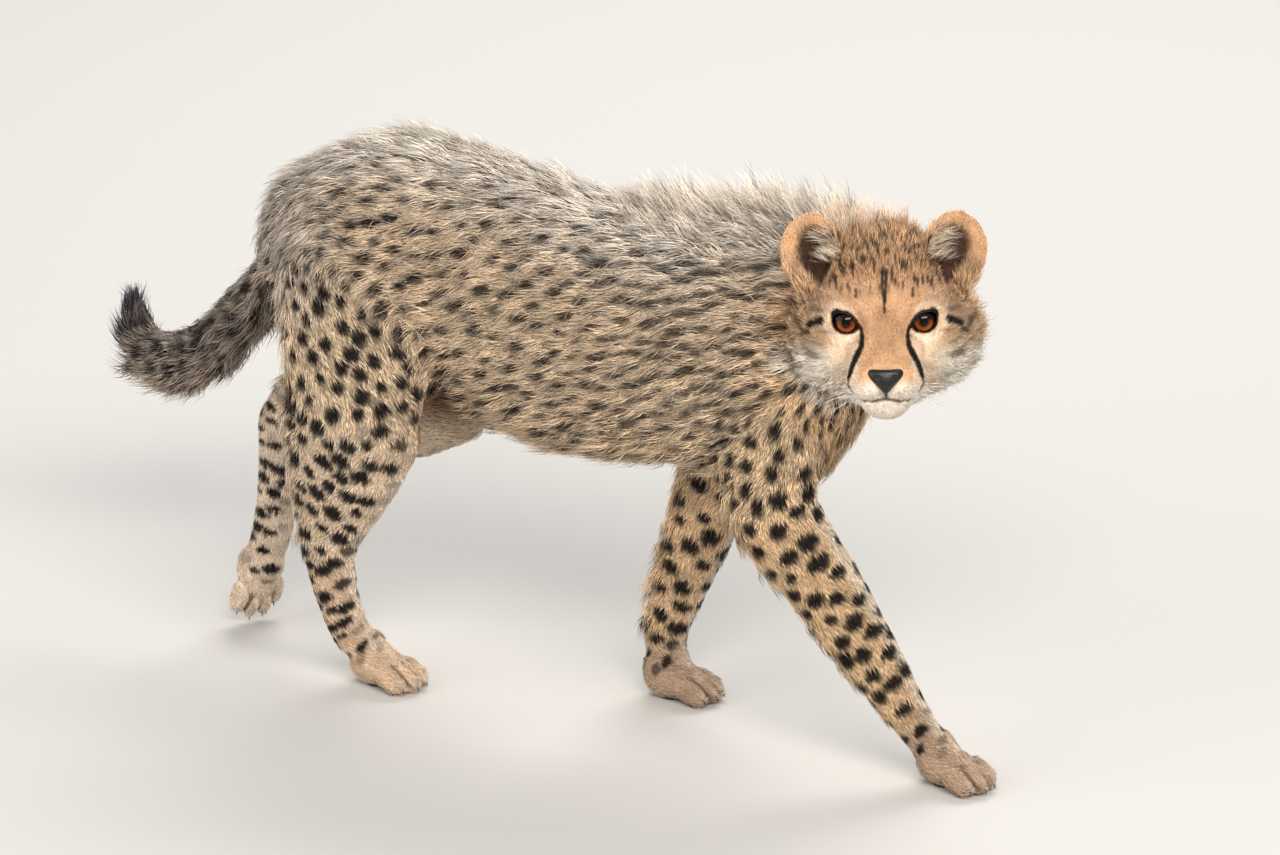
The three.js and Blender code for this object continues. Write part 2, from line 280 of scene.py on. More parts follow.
# How far a place is from the edge of the lids' opening: negative in it. Points have y turned positive
def lidEdge(q):
    ahead, across, up = unturned(q, eyeAt, lids["turnOut"], lids["turnUp"], lids["tilt"])
    w, h = lids["halfWidth"], lids["halfHeight"]
    radius = (w * w + h * h) / (2 * h)
    drop = radius - h
    edge = np.maximum(np.hypot(across, up + drop), np.hypot(across, up - drop)) - radius
    return np.where(ahead > 2, edge, 20.0)


mouth = {
    "line": [[53, 0, -44.5], [51, 6, -45.6], [45.5, 12.5, -47.3], [38.5, 18.5, -48], [32, 23.5, -45],
             [25, 26.5, -37.5]],
    "deep": [1.5, 1.4, 1.3, 1.2, 1.0, 0.5], "cleft": ([57, 0, -38], [53, 0, -46]),
}


# How far a place is from the line of the lips. Points have y turned positive
def lipEdge(q):
    return np.minimum(chain(q, mouth["line"], [0] * 6), rod(q, *mouth["cleft"], 0, 0))


# The bare head at the skin, without ears
def skullField(p):
    q = p.copy()
    q[:, 1] = np.abs(q[:, 1])
    d = ellipsoid(q, [-34, 0, 12], [46, 43, 40])                       # braincase
    d = blend(d, ellipsoid(q, [-6, 13, 12], [20, 22, 21]), 16)         # forehead and brows
    d = blend(d, ellipsoid(q, [-14, 34, -16], [30, 24, 27]), 14)       # cheek
    d = blend(d, ellipsoid(q, [-34, 35, -18], [26, 21, 26.5]), 14)     # ruff
    d = blend(d, rod(q, [6, 0, 4], [42, 0, -19], 13, 10.5), 12)        # bridge of the nose
    d = blend(d, ellipsoid(q, [20, 15, -18], [17, 11, 13]), 10)        # upper jaw
    d = blend(d, ellipsoid(q, [36, 12, -34], [17, 14.5, 13.5]), 8)     # whisker pad
    d = blend(d, rod(q, [-26, 20, -40], [28, 6, -49], 17, 11), 12)     # jaw
    d = blend(d, ellipsoid(q, [33, 0, -51.5], [12, 12, 10.5]), 7)      # chin
    d = carve(d, ellipsoid(q, [20, 27.5, 0], [14, 12.5, 10]), 7)       # hollow of the eye
    d = d - mix(2.5, 0.6, smoothStep(-34, 20, p[:, 0]))
    shell = np.linalg.norm(q - eyeAt, axis=1) - lids["shell"]
    d = blend(d, shell, 5)                                             # lids over the ball
    edge = lidEdge(q)
    rim = np.hypot(edge - 0.9, np.linalg.norm(q - eyeAt, axis=1) - 13.6) - 0.9
    d = blend(d, rim, 1.6)
    opening = np.maximum(edge, 11.5 - np.linalg.norm(q - eyeAt, axis=1))
    d = carve(d, opening, 0.8)
    tear = chain(q, [[13, 18.5, -5.5], [22, 14.5, -13]], [1.1, 0.5])
    d = carve(d, tear, 1.6)                                            # inner corner of the eye
    d = carve(d, rod(q, [57, 0, -38], [53, 0, -46], 1.3, 1.1), 2.4)    # cleft under the nose
    return carve(d, chain(q, mouth["line"], mouth["deep"]), 2.4)


def headShell():
    points, quads = surfaceNet(skullField, [-90, -66, -74], [66, 66, 62], 1.35)
    return rawMesh("head shell", fromHead(points), quads)


# An ear in the head's frame: a cupped sheet with a rolled rim
ears = {
    "at": (-27, 45, 32), "lean": 0.36, "open": 0.3, "tip": -0.16, "inner": 0.03, "outer": 0.34,
    "long": 41, "wide": 45, "thick": 2.4, "rows": 26, "columns": 28, "root": -0.42,
}


def earPlace(points, side):
    def turn(p, i, j, angle):
        c, s = math.cos(angle), math.sin(angle)
        q = p.copy()
        q[:, i] = c * p[:, i] - s * p[:, j]
        q[:, j] = s * p[:, i] + c * p[:, j]
        return q
    p = turn(points, 2, 0, ears["tip"])
    p = turn(p, 0, 1, side * ears["open"])
    p = turn(p, 1, 2, -side * ears["lean"])
    x, y, z = ears["at"]
    return p + np.array([x, side * y, z])


# A place in the head's frame, in the ear's own: deep towards its open side, across towards its outer edge,
# tall towards its tip
def toEar(h):
    def turn(p, i, j, angle):
        c, s = np.cos(angle), np.sin(angle)
        q = p.copy()
        q[:, i] = c * p[:, i] - s * p[:, j]
        q[:, j] = s * p[:, i] + c * p[:, j]
        return q
    side = np.sign(h[:, 1])
    x, y, z = ears["at"]
    p = h - np.stack([np.full_like(side, x), side * y, np.full_like(side, z)], 1)
    p = turn(p, 1, 2, side * ears["lean"])
    p = turn(p, 0, 1, -side * ears["open"])
    p = turn(p, 2, 0, -ears["tip"])
    return p * np.stack([np.ones_like(side), side, np.ones_like(side)], 1)


# up runs from 0 at the head to 1 at the tip, and below 0 inside the head; over from -1 to 1 across
def earSheet(up, over, face, side):
    rounding = np.maximum(0, (up - 0.42) / 0.58) ** 2.3
    outward = 0.5 + 0.5 * side * np.sign(over) * smoothStep(0, 0.5, np.abs(over))
    narrowing = 1 - mix(ears["inner"], ears["outer"], outward) * smoothStep(0.35, ears["root"], up)
    rounded = np.sqrt(np.maximum(0.012, 1 - rounding))
    half = ears["wide"] / 2 * narrowing * rounded
    cup = 15 * (1 - 0.55 * up) * (over ** 2 * rounded ** 2 - 0.5)
    bowl = -5 * np.exp(-((up - 0.3) / 0.25) ** 2) * (1 - over ** 2)
    thick = ears["thick"] / 2 * (1 - 0.55 * over ** 6)
    return np.stack([cup + bowl + face * thick, half * over, ears["long"] * (up - 0.1)], -1)


def earShell(side):
    rows, columns = ears["rows"], ears["columns"]
    rise = np.sin(np.linspace(0, math.pi / 2, rows + 1))
    levels = ears["root"] + (1 - ears["root"]) * rise
    up, over = np.meshgrid(levels, np.linspace(-1, 1, columns + 1), indexing="ij")
    front = earSheet(up.ravel(), over.ravel(), 1, side)
    back = earSheet(up.ravel(), over.ravel(), -1, side)
    points = earPlace(np.concatenate([front, back]), side)
    number = np.arange((rows + 1) * (columns + 1)).reshape(rows + 1, columns + 1)
    quad = np.stack([number[:-1, :-1], number[:-1, 1:], number[1:, 1:], number[1:, :-1]], -1).reshape(-1, 4)
    behind = quad[:, ::-1] + number.size
    loop = np.concatenate([number[0, :-1], number[:-1, -1], number[-1, :0:-1], number[:0:-1, 0]])
    after = np.roll(loop, -1)
    rim = np.stack([after, loop, loop + number.size, after + number.size], 1)
    mesh = rawMesh("ear shell", fromHead(points), np.concatenate([quad, behind, rim]))
    facing(mesh)
    return mesh


# Turns a closed mesh so that its faces point out
def facing(mesh):
    shape = bmesh.new()
    shape.from_mesh(mesh)
    bmesh.ops.recalc_face_normals(shape, faces=shape.faces)
    shape.to_mesh(mesh)
    shape.free()
    mesh.update()


# Paws: x towards the toes, z up from the sole. A level one stands at its mount, the lifted one hangs
paws = {
    "coat": 2.0, "pressed": 1.2, "behindMount": 3.1, "step": 1.6,
    "level": {"hind_right": -4, "fore_right": -8, "fore_left": 4},
    "lifted": {"node": "hind_foot_left", "fromLow": (8.2, 27.0, 29.7), "yaw": -30, "pitch": 86},
}


def pawField(p):
    d = ellipsoid(p, [-6, 0, 15], [21, 16, 14])
    d = blend(d, ellipsoid(p, [-16, 0, 24], [14, 13.5, 18]), 8)
    for reach, y in ((16, -15), (22, -5.4), (22, 5.4), (16, 15)):
        knuckle = ellipsoid(p, [reach - 8, y * 0.94, 13.5], [8, 5.6, 6.2])
        toe = blend(rod(p, [4, y * 0.8, 13], [reach, y, 8.5], 7.0, 6.8), knuckle, 3)
        d = blend(d, toe, 1.2)
    for y in (-10.5, 0, 10.5):
        d = carve(d, rod(p, [10, y * 0.9, 20], [27 - abs(y) * 0.25, y, 7], 0.5, 1.1), 2.2)
    return d - 1.5 + paws["coat"]


# The bare pads under a paw: a broad one and one for each toe
def padField(p):
    d = blend(ellipsoid(p, [-3, 0, 4.8], [7.5, 7, 4.4]), ellipsoid(p, [-8, 6, 4.8], [6, 5.5, 4.4]), 2)
    d = blend(d, ellipsoid(p, [-8, -6, 4.8], [6, 5.5, 4.4]), 2)
    for reach, y in ((16, -15), (22, -5.4), (22, 5.4), (16, 15)):
        d = np.minimum(d, ellipsoid(p, [reach - 1.5, y, 4.6], [5.4, 4.3, 4.2]))
    return d


# How deep between two toes a place is, from 0 to 1
def betweenToes(p):
    gaps = [rod(p, [9, y * 0.9, 20], [28 - abs(y) * 0.25, y, 6], 0, 0) for y in (-10.5, 0, 10.5)]
    return smoothStep(3.4, 1.2, np.minimum.reduce(gaps))


def pawTurned(points, at, yaw, pitch):
    a, b = math.radians(yaw), math.radians(pitch)
    x = points[:, 0] * math.cos(b) + points[:, 2] * math.sin(b)
    z = -points[:, 0] * math.sin(b) + points[:, 2] * math.cos(b)
    y = points[:, 1]
    turned = np.stack([x * math.cos(a) - y * math.sin(a), x * math.sin(a) + y * math.cos(a), z], -1)
    return at + mm * turned


def toPaw(points, at, yaw, pitch):
    a, b = math.radians(yaw), math.radians(pitch)
    q = (points - at) / mm
    x = q[:, 0] * math.cos(a) + q[:, 1] * math.sin(a)
    y = -q[:, 0] * math.sin(a) + q[:, 1] * math.cos(a)
    z = q[:, 2]
    return np.stack([x * math.cos(b) - z * math.sin(b), y, x * math.sin(b) + z * math.cos(b)], -1)


def pawPlaces():
    mounts = {m["name"]: np.array(m["pos_m"], float) for m in frame["record"]["mounts"]}
    places = {}
    for name, yaw in paws["level"].items():
        toes = np.array([math.cos(math.radians(yaw)), math.sin(math.radians(yaw)), 0])
        sole = mounts["sole_" + name]
        places[name] = (sole - mm * paws["behindMount"] * toes - [0, 0, mm * paws["pressed"]], yaw, 0)
    lifted = paws["lifted"]
    low = np.array(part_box(lifted["node"])[0])
    places["hind_left"] = (low + mm * np.array(lifted["fromLow"]), lifted["yaw"], lifted["pitch"])
    return places


def pawShell(at, yaw, pitch):
    points, quads = surfaceNet(pawField, [-38, -28, -4], [36, 28, 50], paws["step"])
    return rawMesh("paw shell", pawTurned(points, at, yaw, pitch), quads)


# The body's skin: the solids joined, smoothed, and drawn in by the depth of the coat over each
body = {
    "voxel": 3.8, "grow": 0.45, "mantleDrop": 30, "smoothing": 16, "headCut": -12,
    "depth": {
        "trunk": 12, "neck": 12, "mantle": 12, "head": 14, "thigh": 8, "shank": 3.5, "hind_foot": 2.2,
        "upper_arm": 7, "forearm": 2.6, "forefoot": 2.2, "tail_base": 11, "tail_middle": 12, "tail_tip": 12,
    },
}
fleshNodes = sorted(n for n in cad if n.split("_")[0] not in ("eye", "nose"))
bodyNodes = [n for n in fleshNodes if not n.startswith("ear")]


def kindOf(node):
    return node if node.startswith("tail") else node.replace("_left", "").replace("_right", "")


# Only the back of the head joins the body here, well inside the finer head
def backHalf(part):
    cut = fromHead([body["headCut"], 0, 0])
    whole = part.verts[:] + part.edges[:] + part.faces[:]
    bmesh.ops.bisect_plane(part, geom=whole, plane_co=cut, plane_no=headWay[0], clear_outer=True)
    bmesh.ops.holes_fill(part, edges=[e for e in part.edges if e.is_boundary], sides=0)


def joinedCopies(nodes):
    whole = bmesh.new()
    for name in nodes:
        part = bmesh.new()
        part.from_mesh(cad[name].data)
        bmesh.ops.remove_doubles(part, verts=part.verts, dist=1e-5)
        part.normal_update()
        for v in part.verts:
            v.co += v.normal * body["grow"] * mm
            if name == "mantle":
                v.co.z -= body["mantleDrop"] * mm
        if name == "head":
            backHalf(part)
        mesh = bpy.data.meshes.new("copy")
        part.to_mesh(mesh)
        part.free()
        whole.from_mesh(mesh)
    mesh = bpy.data.meshes.new("copies")
    whole.to_mesh(mesh)
    whole.free()
    return mesh


def evaluated(piece):
    depsgraph = bpy.context.evaluated_depsgraph_get()
    mesh = bpy.data.meshes.new_from_object(piece.evaluated_get(depsgraph))
    bpy.data.objects.remove(piece)
    return mesh


def remeshed(mesh, voxel):
    piece = place("remesh", mesh)
    change = piece.modifiers.new("voxels", "REMESH")
    change.mode = "VOXEL"
    change.voxel_size = voxel
    return evaluated(piece)


# Which solid each point is nearest to
def nearestNode(points, nodes):
    corners, polygons, owner = [], [], []
    for i, name in enumerate(nodes):
        mesh = cad[name].data
        start = len(corners)
        corners.extend(v.co[:] for v in mesh.vertices)
        polygons.extend([start + v for v in p.vertices] for p in mesh.polygons)
        owner.extend([i] * len(mesh.polygons))
    tree = BVHTree.FromPolygons(corners, polygons)
    found = [tree.find_nearest(Vector(p))[2] for p in points]
    return np.array(owner)[found]


def bodyShell():
    mesh = remeshed(joinedCopies(bodyNodes), body["voxel"] * mm)
    edges = edgesOf(mesh)
    points = relaxed(pointsOf(mesh), edges, body["smoothing"])
    owner = nearestNode(points, bodyNodes)
    depth = np.array([body["depth"][kindOf(n)] for n in bodyNodes])[owner] * mm
    setPoints(mesh, points)
    normals = relaxed(normalsOf(mesh), edges, 6)
    points = points - unit(normals) * relaxed(depth, edges, 30)[:, None]
    setPoints(mesh, relaxed(points, edges, 4))
    return mesh


def joined(first, others):
    piece = place("union", first)
    tools = []
    for i, mesh in enumerate(others):
        tool = place("tool", mesh)
        tools.append(tool)
        change = piece.modifiers.new("add%d" % i, "BOOLEAN")
        change.operation = "UNION"
        change.solver = "MANIFOLD"
        change.object = tool
    mesh = evaluated(piece)
    for tool in tools:
        bpy.data.objects.remove(tool)
    return mesh


def triangulated(mesh):
    shape = bmesh.new()
    shape.from_mesh(mesh)
    bmesh.ops.triangulate(shape, faces=shape.faces)
    bmesh.ops.dissolve_degenerate(shape, edges=shape.edges, dist=1e-6)
    bmesh.ops.triangulate(shape, faces=shape.faces)
    shape.to_mesh(mesh)
    shape.free()
    mesh.update()
    return mesh


def makeSkin():
    shells = [headShell(), earShell(1), earShell(-1)]
    shells += [pawShell(*where) for where in pawPlaces().values()]
    mesh = triangulated(joined(bodyShell(), shells))
    mesh.name = "skin"
    print("stage: skin", len(mesh.vertices), "points", len(mesh.polygons), "triangles")
    return mesh


skinMesh = makeSkin()
skin = place("skin", skinMesh)

# What is known at each point of the skin: its place, its normal, the solid it stands for and its place in
# the head's frame
skinPoints = pointsOf(skinMesh)
skinNormals = unit(relaxed(normalsOf(skinMesh), edgesOf(skinMesh), 3))
skinEdges = edgesOf(skinMesh)
skinOwner = nearestNode(skinPoints, fleshNodes)
skinHead = toHead(skinPoints)
kinds = [kindOf(n) for n in fleshNodes]


def owned(kind):
    return np.array([k == kind for k in kinds])[skinOwner]


def perKind(table, rounds):
    rows = [table[k] for k in kinds]
    return relaxed(np.array(rows, float)[skinOwner], skinEdges, rounds)


# How far the skin of a leg faces the other leg of its pair
def inwards():
    side = np.array([n.endswith("_left") * 1.0 - n.endswith("_right") for n in fleshNodes])
    return -side[skinOwner] * skinNormals[:, 1]


# A smooth drift between -1 and 1 over space, from waves about as long as the given size
def drift(points, size, key, waves=9):
    draw = np.random.default_rng(seed * 1000 + key)
    way = unit(draw.normal(size=(waves, 3))) * draw.uniform(0.6, 1.5, (waves, 1)) * 2 * math.pi / size
    return np.sin(points @ way.T + draw.uniform(0, 2 * math.pi, waves)).sum(1) / math.sqrt(waves)


# The way the coat lies: from the nose over the head, back along the body, down the limbs and out the tail
comb = {
    "chains": [("thigh", "shank", "hind_foot"), ("upper_arm", "forearm", "forefoot")],
    "rump": -0.12, "chest": 0.20, "toesBelow": 0.042, "rounds": 26,
}


def longAxis(node):
    mesh = cad[node].data
    corners = pointsOf(mesh)
    faces = np.array([p.vertices[:] for p in mesh.polygons])
    a, b, c = (corners[faces[:, i]] for i in range(3))
    area = np.linalg.norm(np.cross(b - a, c - a), axis=1)
    centre = (a + b + c) / 3
    offset = centre - (centre * area[:, None]).sum(0) / area.sum()
    return np.linalg.eigh((offset * area[:, None]).T @ offset)[1][:, -1]


def nodeWays():
    ways = {}
    for side in ("left", "right"):
        for parts in comb["chains"]:
            names = [part + "_" + side for part in parts]
            for before, name in zip([names[0]] + names, names):
                axis = longAxis(name)
                towards = middle(name) - middle(before) if before != name else np.array([0, 0, -1.0])
                ways[name] = axis * np.sign(axis @ towards)
    tail = ["trunk", "tail_base", "tail_middle", "tail_tip"]
    for before, name in zip(tail, tail[1:]):
        axis = longAxis(name)
        ways[name] = axis * np.sign(axis @ (middle(name) - middle(before)))
    return ways


def combed():
    way = np.zeros_like(skinPoints)
    x, z = skinPoints[:, 0], skinPoints[:, 2]
    height = (z - 0.2) / 0.2
    down = 0.30 + 0.25 * smoothStep(0.5, 0.0, height)
    down += 0.9 * smoothStep(comb["rump"], comb["rump"] - 0.08, x)
    down += 1.6 * smoothStep(comb["chest"], comb["chest"] + 0.06, x) * smoothStep(0.8, 0.3, height)
    way[:] = np.stack([-np.ones_like(x), np.zeros_like(x), -down], 1)
    for name, direction in nodeWays().items():
        way[skinOwner == fleshNodes.index(name)] = direction
    for name, (at, yaw, pitch) in pawPlaces().items():
        toes = pawTurned(np.array([[1.0, 0, 0]]), np.zeros(3), yaw, pitch)[0] / mm
        foot = np.linalg.norm(skinPoints - at, axis=1) < comb["toesBelow"]
        way[foot] = toes + [0, 0, -0.2]
    h = skinHead
    face = h - [54, 0, -27]
    face[:, 2] -= 14 * smoothStep(0, -40, h[:, 2]) * smoothStep(30, -20, h[:, 0])
    way[owned("head")] = (unit(face) @ headWay)[owned("head")]
    ear = owned("ear")
    way[ear] = (np.array([-0.1, 0, 1.0]) @ headWay)
    way = relaxed(unit(way), skinEdges, comb["rounds"])
    way -= skinNormals * (way * skinNormals).sum(1, keepdims=True)
    way = relaxed(unit(way), skinEdges, 4)
    way -= skinNormals * (way * skinNormals).sum(1, keepdims=True)
    return unit(way)


skinWay = combed()
print("stage: coat combed")

# Length, width and spacing of the tufts in millimetres, and how steeply they rise
growth = {
    "trunk": (18, 0.76, 1.50, 0.60), "neck": (20, 0.62, 1.42, 0.50), "mantle": (20, 0.9, 1.55, 0.8),
    "head": (9, 0.8, 1.3, 0.5), "ear": (3.6, 0.5, 0.95, 0.35),
    "thigh": (11, 0.88, 1.58, 0.46), "shank": (8, 0.8, 1.52, 0.40),
    "hind_foot": (5.8, 0.66, 1.34, 0.36),
    "upper_arm": (12, 0.88, 1.58, 0.46), "forearm": (9, 0.8, 1.48, 0.42),
    "forefoot": (5.8, 0.66, 1.32, 0.34),
    "tail_base": (18, 1.0, 1.55, 0.5), "tail_middle": (20, 1.0, 1.5, 0.55), "tail_tip": (20, 1.0, 1.45, 0.6),
}


# The floor of the ear's bowl, where the head's own skin shows in it
def inBowl(h):
    deep, across, tall = toEar(h).T
    low = smoothStep(1.1, 0.85, np.hypot(across / 14.5, (tall - 2) / 20))
    return low * smoothStep(-16, -8, deep) * smoothStep(16, 8, deep)


# The throat, down to where the chest begins
def throatOf(points):
    return smoothStep(0.19, 0.23, points[:, 0]) * smoothStep(0.34, 0.31, points[:, 2])


def grown():
    sizes = perKind(growth, 24)
    h = skinHead
    face = relaxed(owned("head").astype(float), skinEdges, 12)
    behind = smoothStep(26, -36, h[:, 0])
    low = smoothStep(-6, -44, h[:, 2]) * smoothStep(24, 0, h[:, 0])
    side, height = faceView(h)
    crown = smoothStep(24, 40, height) * smoothStep(50, 34, side)
    temple = smoothStep(34, 48, side) * smoothStep(-10, -30, h[:, 0]) * smoothStep(-34, -8, height)
    ruff = smoothStep(30, 45, side) * smoothStep(18, -2, height) * smoothStep(22, -6, h[:, 0])
    length = mix(2.8, 12.5, behind ** 1.3) + 9 * low + 4.5 * crown + 8 * temple + 5 * ruff
    width = mix(0.38, 0.52, behind)
    spacing = mix(0.80, 1.14, behind)
    rise = mix(0.34, 0.55, behind) + 0.35 * crown + 0.3 * temple + 0.12 * ruff
    for where in pawPlaces().values():
        gap = betweenToes(toPaw(skinPoints, *where))
        sizes[:, 0] *= 1 - 0.45 * gap
    _, across, tall = toEar(h).T
    earFoot = smoothStep(10, -2, tall) * smoothStep(-8, 4, across)
    earFoot = relaxed(owned("ear").astype(float), skinEdges, 4) * earFoot
    sizes = mix(sizes, np.array([9, 0.6, 1.15, 0.55]), earFoot[:, None])
    bowl = inBowl(h)
    length = mix(length, 4.0, bowl)
    rise = mix(rise, 0.4, bowl)
    onHead = np.stack([length, width, spacing, rise], 1)
    sizes = mix(sizes, onHead, face[:, None])
    leg = sum(owned(k) for k in ("thigh", "shank", "upper_arm", "forearm")).astype(float)
    leg = relaxed(leg, skinEdges, 6) * smoothStep(0.035, 0.07, skinPoints[:, 2])
    rear = leg * smoothStep(0.35, 0.85, -skinNormals[:, 0])
    trunk = relaxed((owned("trunk") | owned("neck")).astype(float), skinEdges, 6)
    belly = trunk * smoothStep(-0.1, -0.8, skinNormals[:, 2])
    back = trunk * smoothStep(0.35, 0.9, skinNormals[:, 2])
    sizes[:, 0] *= 1 - 0.3 * throatOf(skinPoints) * trunk
    sizes[:, 0] += 9 * rear + 8 * belly + 5 * back
    sizes[:, 3] += 0.35 * rear + 0.1 * belly + 0.2 * back
    tail = relaxed((owned("tail_base") | owned("tail_middle")).astype(float), skinEdges, 6)
    under = tail * smoothStep(-0.1, -0.8, skinNormals[:, 2])
    sizes[:, 0] += 9 * under
    sizes[:, 3] += 0.3 * under
    return sizes


skinGrowth = grown()

# Base colours of the coat, at the root and at the tip of the hair; the darker roots are partly the hair's
# own colour and partly painted shade deep in the coat
tints = {
    "trunk": ((0.37, 0.24, 0.14), (1.0, 0.79, 0.57)), "neck": ((0.42, 0.29, 0.19), (1.0, 0.81, 0.61)),
    "mantle": ((0.56, 0.43, 0.32), (1.0, 0.88, 0.74)),
    "head": ((0.53, 0.30, 0.155), (0.90, 0.58, 0.36)),
    "ear": ((0.68, 0.40, 0.21), (0.89, 0.58, 0.35)),
    "thigh": ((0.48, 0.34, 0.21), (1.0, 0.81, 0.58)), "shank": ((0.54, 0.39, 0.26), (1.0, 0.83, 0.63)),
    "hind_foot": ((0.46, 0.32, 0.22), (0.96, 0.74, 0.54)),
    "upper_arm": ((0.54, 0.37, 0.21), (1.0, 0.77, 0.52)),
    "forearm": ((0.54, 0.36, 0.20), (0.97, 0.71, 0.45)),
    "forefoot": ((0.26, 0.17, 0.11), (0.72, 0.53, 0.38)),
    "tail_base": ((0.08, 0.06, 0.05), (0.46, 0.37, 0.30)),
    "tail_middle": ((0.05, 0.036, 0.03), (0.56, 0.44, 0.35)),
    "tail_tip": ((0.016, 0.014, 0.018), (0.05, 0.045, 0.055)),
}

# Colours washed over those, where the same part of the body differs. Most are the coat's own; the dark of
# the groin and between the toes is painted shade, and the pale back and fronts of the lower legs are partly
# painted light
shades = {
    "back": ((0.62, 0.50, 0.40), (1.0, 0.93, 0.83)), "rump": ((0.24, 0.19, 0.16), (0.90, 0.79, 0.68)),
    "belly": ((0.40, 0.26, 0.15), (0.98, 0.78, 0.54)), "chest": ((0.88, 0.52, 0.24), (1.0, 0.75, 0.47)),
    "cheek": ((0.98, 0.84, 0.67), (1.0, 0.95, 0.86)), "muzzle": ((0.86, 0.72, 0.58), (1.0, 0.95, 0.87)),
    "temple": ((0.34, 0.21, 0.115), (0.81, 0.56, 0.35)), "pale": ((0.96, 0.76, 0.56), (1.0, 0.88, 0.72)),
    "earShade": ((0.045, 0.022, 0.014), (0.15, 0.075, 0.045)),
    "tailTop": ((0.12, 0.10, 0.09), (0.50, 0.43, 0.37)),
    "gap": ((0.10, 0.06, 0.04), (0.26, 0.17, 0.11)), "groin": ((0.13, 0.053, 0.019), (0.36, 0.155, 0.060)),
    "bridge": ((0.40, 0.21, 0.10), (0.72, 0.44, 0.26)), "legFront": ((0.74, 0.57, 0.42), (1.0, 0.91, 0.78)),
    "crown": ((0.34, 0.17, 0.08), (0.96, 0.61, 0.34)),
    "dark": ((0.008, 0.005, 0.004), (0.014, 0.009, 0.007)),
}


def tinted():
    tint = perKind({k: np.ravel(v) for k, v in tints.items()}, 26)
    x, z = skinPoints[:, 0], skinPoints[:, 2]
    trunk = relaxed((owned("trunk") | owned("neck") | owned("mantle")).astype(float), skinEdges, 12)
    up = skinNormals[:, 2]

    def wash(name, amount):
        nonlocal tint
        tint = mix(tint, np.ravel(shades[name]), np.clip(amount, 0, 1)[:, None])

    # The pale back: partly the cub's paler coat on top and partly painted light on the fur that faces up
    wash("back", trunk * smoothStep(0.25, 0.95, up))
    wash("belly", trunk * smoothStep(-0.2, -0.9, up) * smoothStep(0.2, 0.1, x))
    # Painted shade: dark brown in the fold between the belly and the thigh and on the inner side of the
    # upper hind legs
    fold = smoothStep(-0.17, -0.13, x)
    wash("groin", trunk * smoothStep(-0.1, -0.6, up) * smoothStep(0.0, -0.07, x) * fold)
    inward = inwards()
    hind = relaxed((owned("thigh") | owned("shank")).astype(float), skinEdges, 6)
    wash("groin", hind * smoothStep(-0.05, 0.35, inward) * smoothStep(0.17, 0.21, z) * fold)
    hindLeg = relaxed((owned("shank") | owned("hind_foot")).astype(float), skinEdges, 8)
    hindLeg = hindLeg * smoothStep(0.2, 0.16, z)
    foreleg = relaxed((owned("forearm") | owned("forefoot")).astype(float), skinEdges, 8)
    # The pale fronts of the lower legs are partly the coat's own pale edge and partly painted light; their
    # pale inner sides are the coat's own
    front = smoothStep(0.35, 0.9, skinNormals[:, 0])
    wash("legFront", hindLeg * np.maximum(front * 0.8, smoothStep(0.3, 0.8, inward) * 0.7))
    wash("legFront", foreleg * front * smoothStep(0.8, 0.2, np.abs(skinNormals[:, 1])) * 0.9)
    wash("rump", smoothStep(-0.10, -0.19, x) * smoothStep(0.27, 0.33, z) * 0.9)
    chest = smoothStep(0.34, 0.29, z) * smoothStep(0.18, 0.24, z) * trunk
    wash("chest", smoothStep(0.18, 0.25, x) * chest * 0.9)
    head = relaxed(owned("head").astype(float), skinEdges, 6)
    side, height = faceView(skinHead)
    ahead = skinHead[:, 0]
    bridge = smoothStep(11, 4, side) * smoothStep(14, 0, height) * smoothStep(-34, -20, height)
    wash("bridge", head * bridge * 0.8)
    wash("temple", head * smoothStep(33, 47, side) * smoothStep(28, 10, height))
    wash("crown", head * smoothStep(19, 32, height) * smoothStep(46, 32, side))
    wash("cheek", head * smoothStep(-11, -30, height) * smoothStep(24, 38, side))
    wash("cheek", head * smoothStep(-16, -40, ahead) * smoothStep(-4, -26, height) * 0.7)
    below = smoothStep(-4, -10, height) * smoothStep(-44, -32, height)
    wash("pale", head * below * smoothStep(16, 20, side) * smoothStep(42, 30, side) * 0.5)
    wash("muzzle", head * smoothStep(-40, -50, height) * smoothStep(38, 28, side))
    besideMuzzle = smoothStep(-22, -36, height) * smoothStep(17, 23, side) * smoothStep(34, 26, side)
    wash("muzzle", head * besideMuzzle * 0.5)
    q = skinHead.copy()
    q[:, 1] = side
    edge = lidEdge(q)
    around = smoothStep(1.5, 3.2, edge) * smoothStep(8.5, 4.0, edge) * smoothStep(17, 23, side)
    wash("pale", head * around * mix(0.75, 0.6, smoothStep(-4, 4, height)))
    _, across, tall = toEar(skinHead).T
    ear = relaxed(owned("ear").astype(float), skinEdges, 2)
    wash("temple", ear * smoothStep(6, -6, tall) * smoothStep(-8, 4, across) * 0.8)
    openSide = smoothStep(0.0, 0.5, skinNormals @ headWay[0])
    bowl = np.maximum(ear * openSide, inBowl(skinHead))
    wash("earShade", bowl * smoothStep(1.12, 0.8, np.hypot((across + 0.5) / 15.5, (tall - 7) / 22)))
    wash("dark", ear * (1 - openSide) * smoothStep(1.1, 0.8, np.hypot(across / 15, (tall - 14) / 15)))
    # Painted shade in the clefts between the toes
    for where in pawPlaces().values():
        wash("gap", betweenToes(toPaw(skinPoints, *where)) * 0.85)
    tail = owned("tail_base") | owned("tail_middle") | owned("tail_tip")
    tail = relaxed(tail.astype(float), skinEdges, 4)
    wash("tailTop", tail * smoothStep(0.2, 0.8, up) * smoothStep(-0.36, -0.30, x))
    return tint


skinTint = tinted()

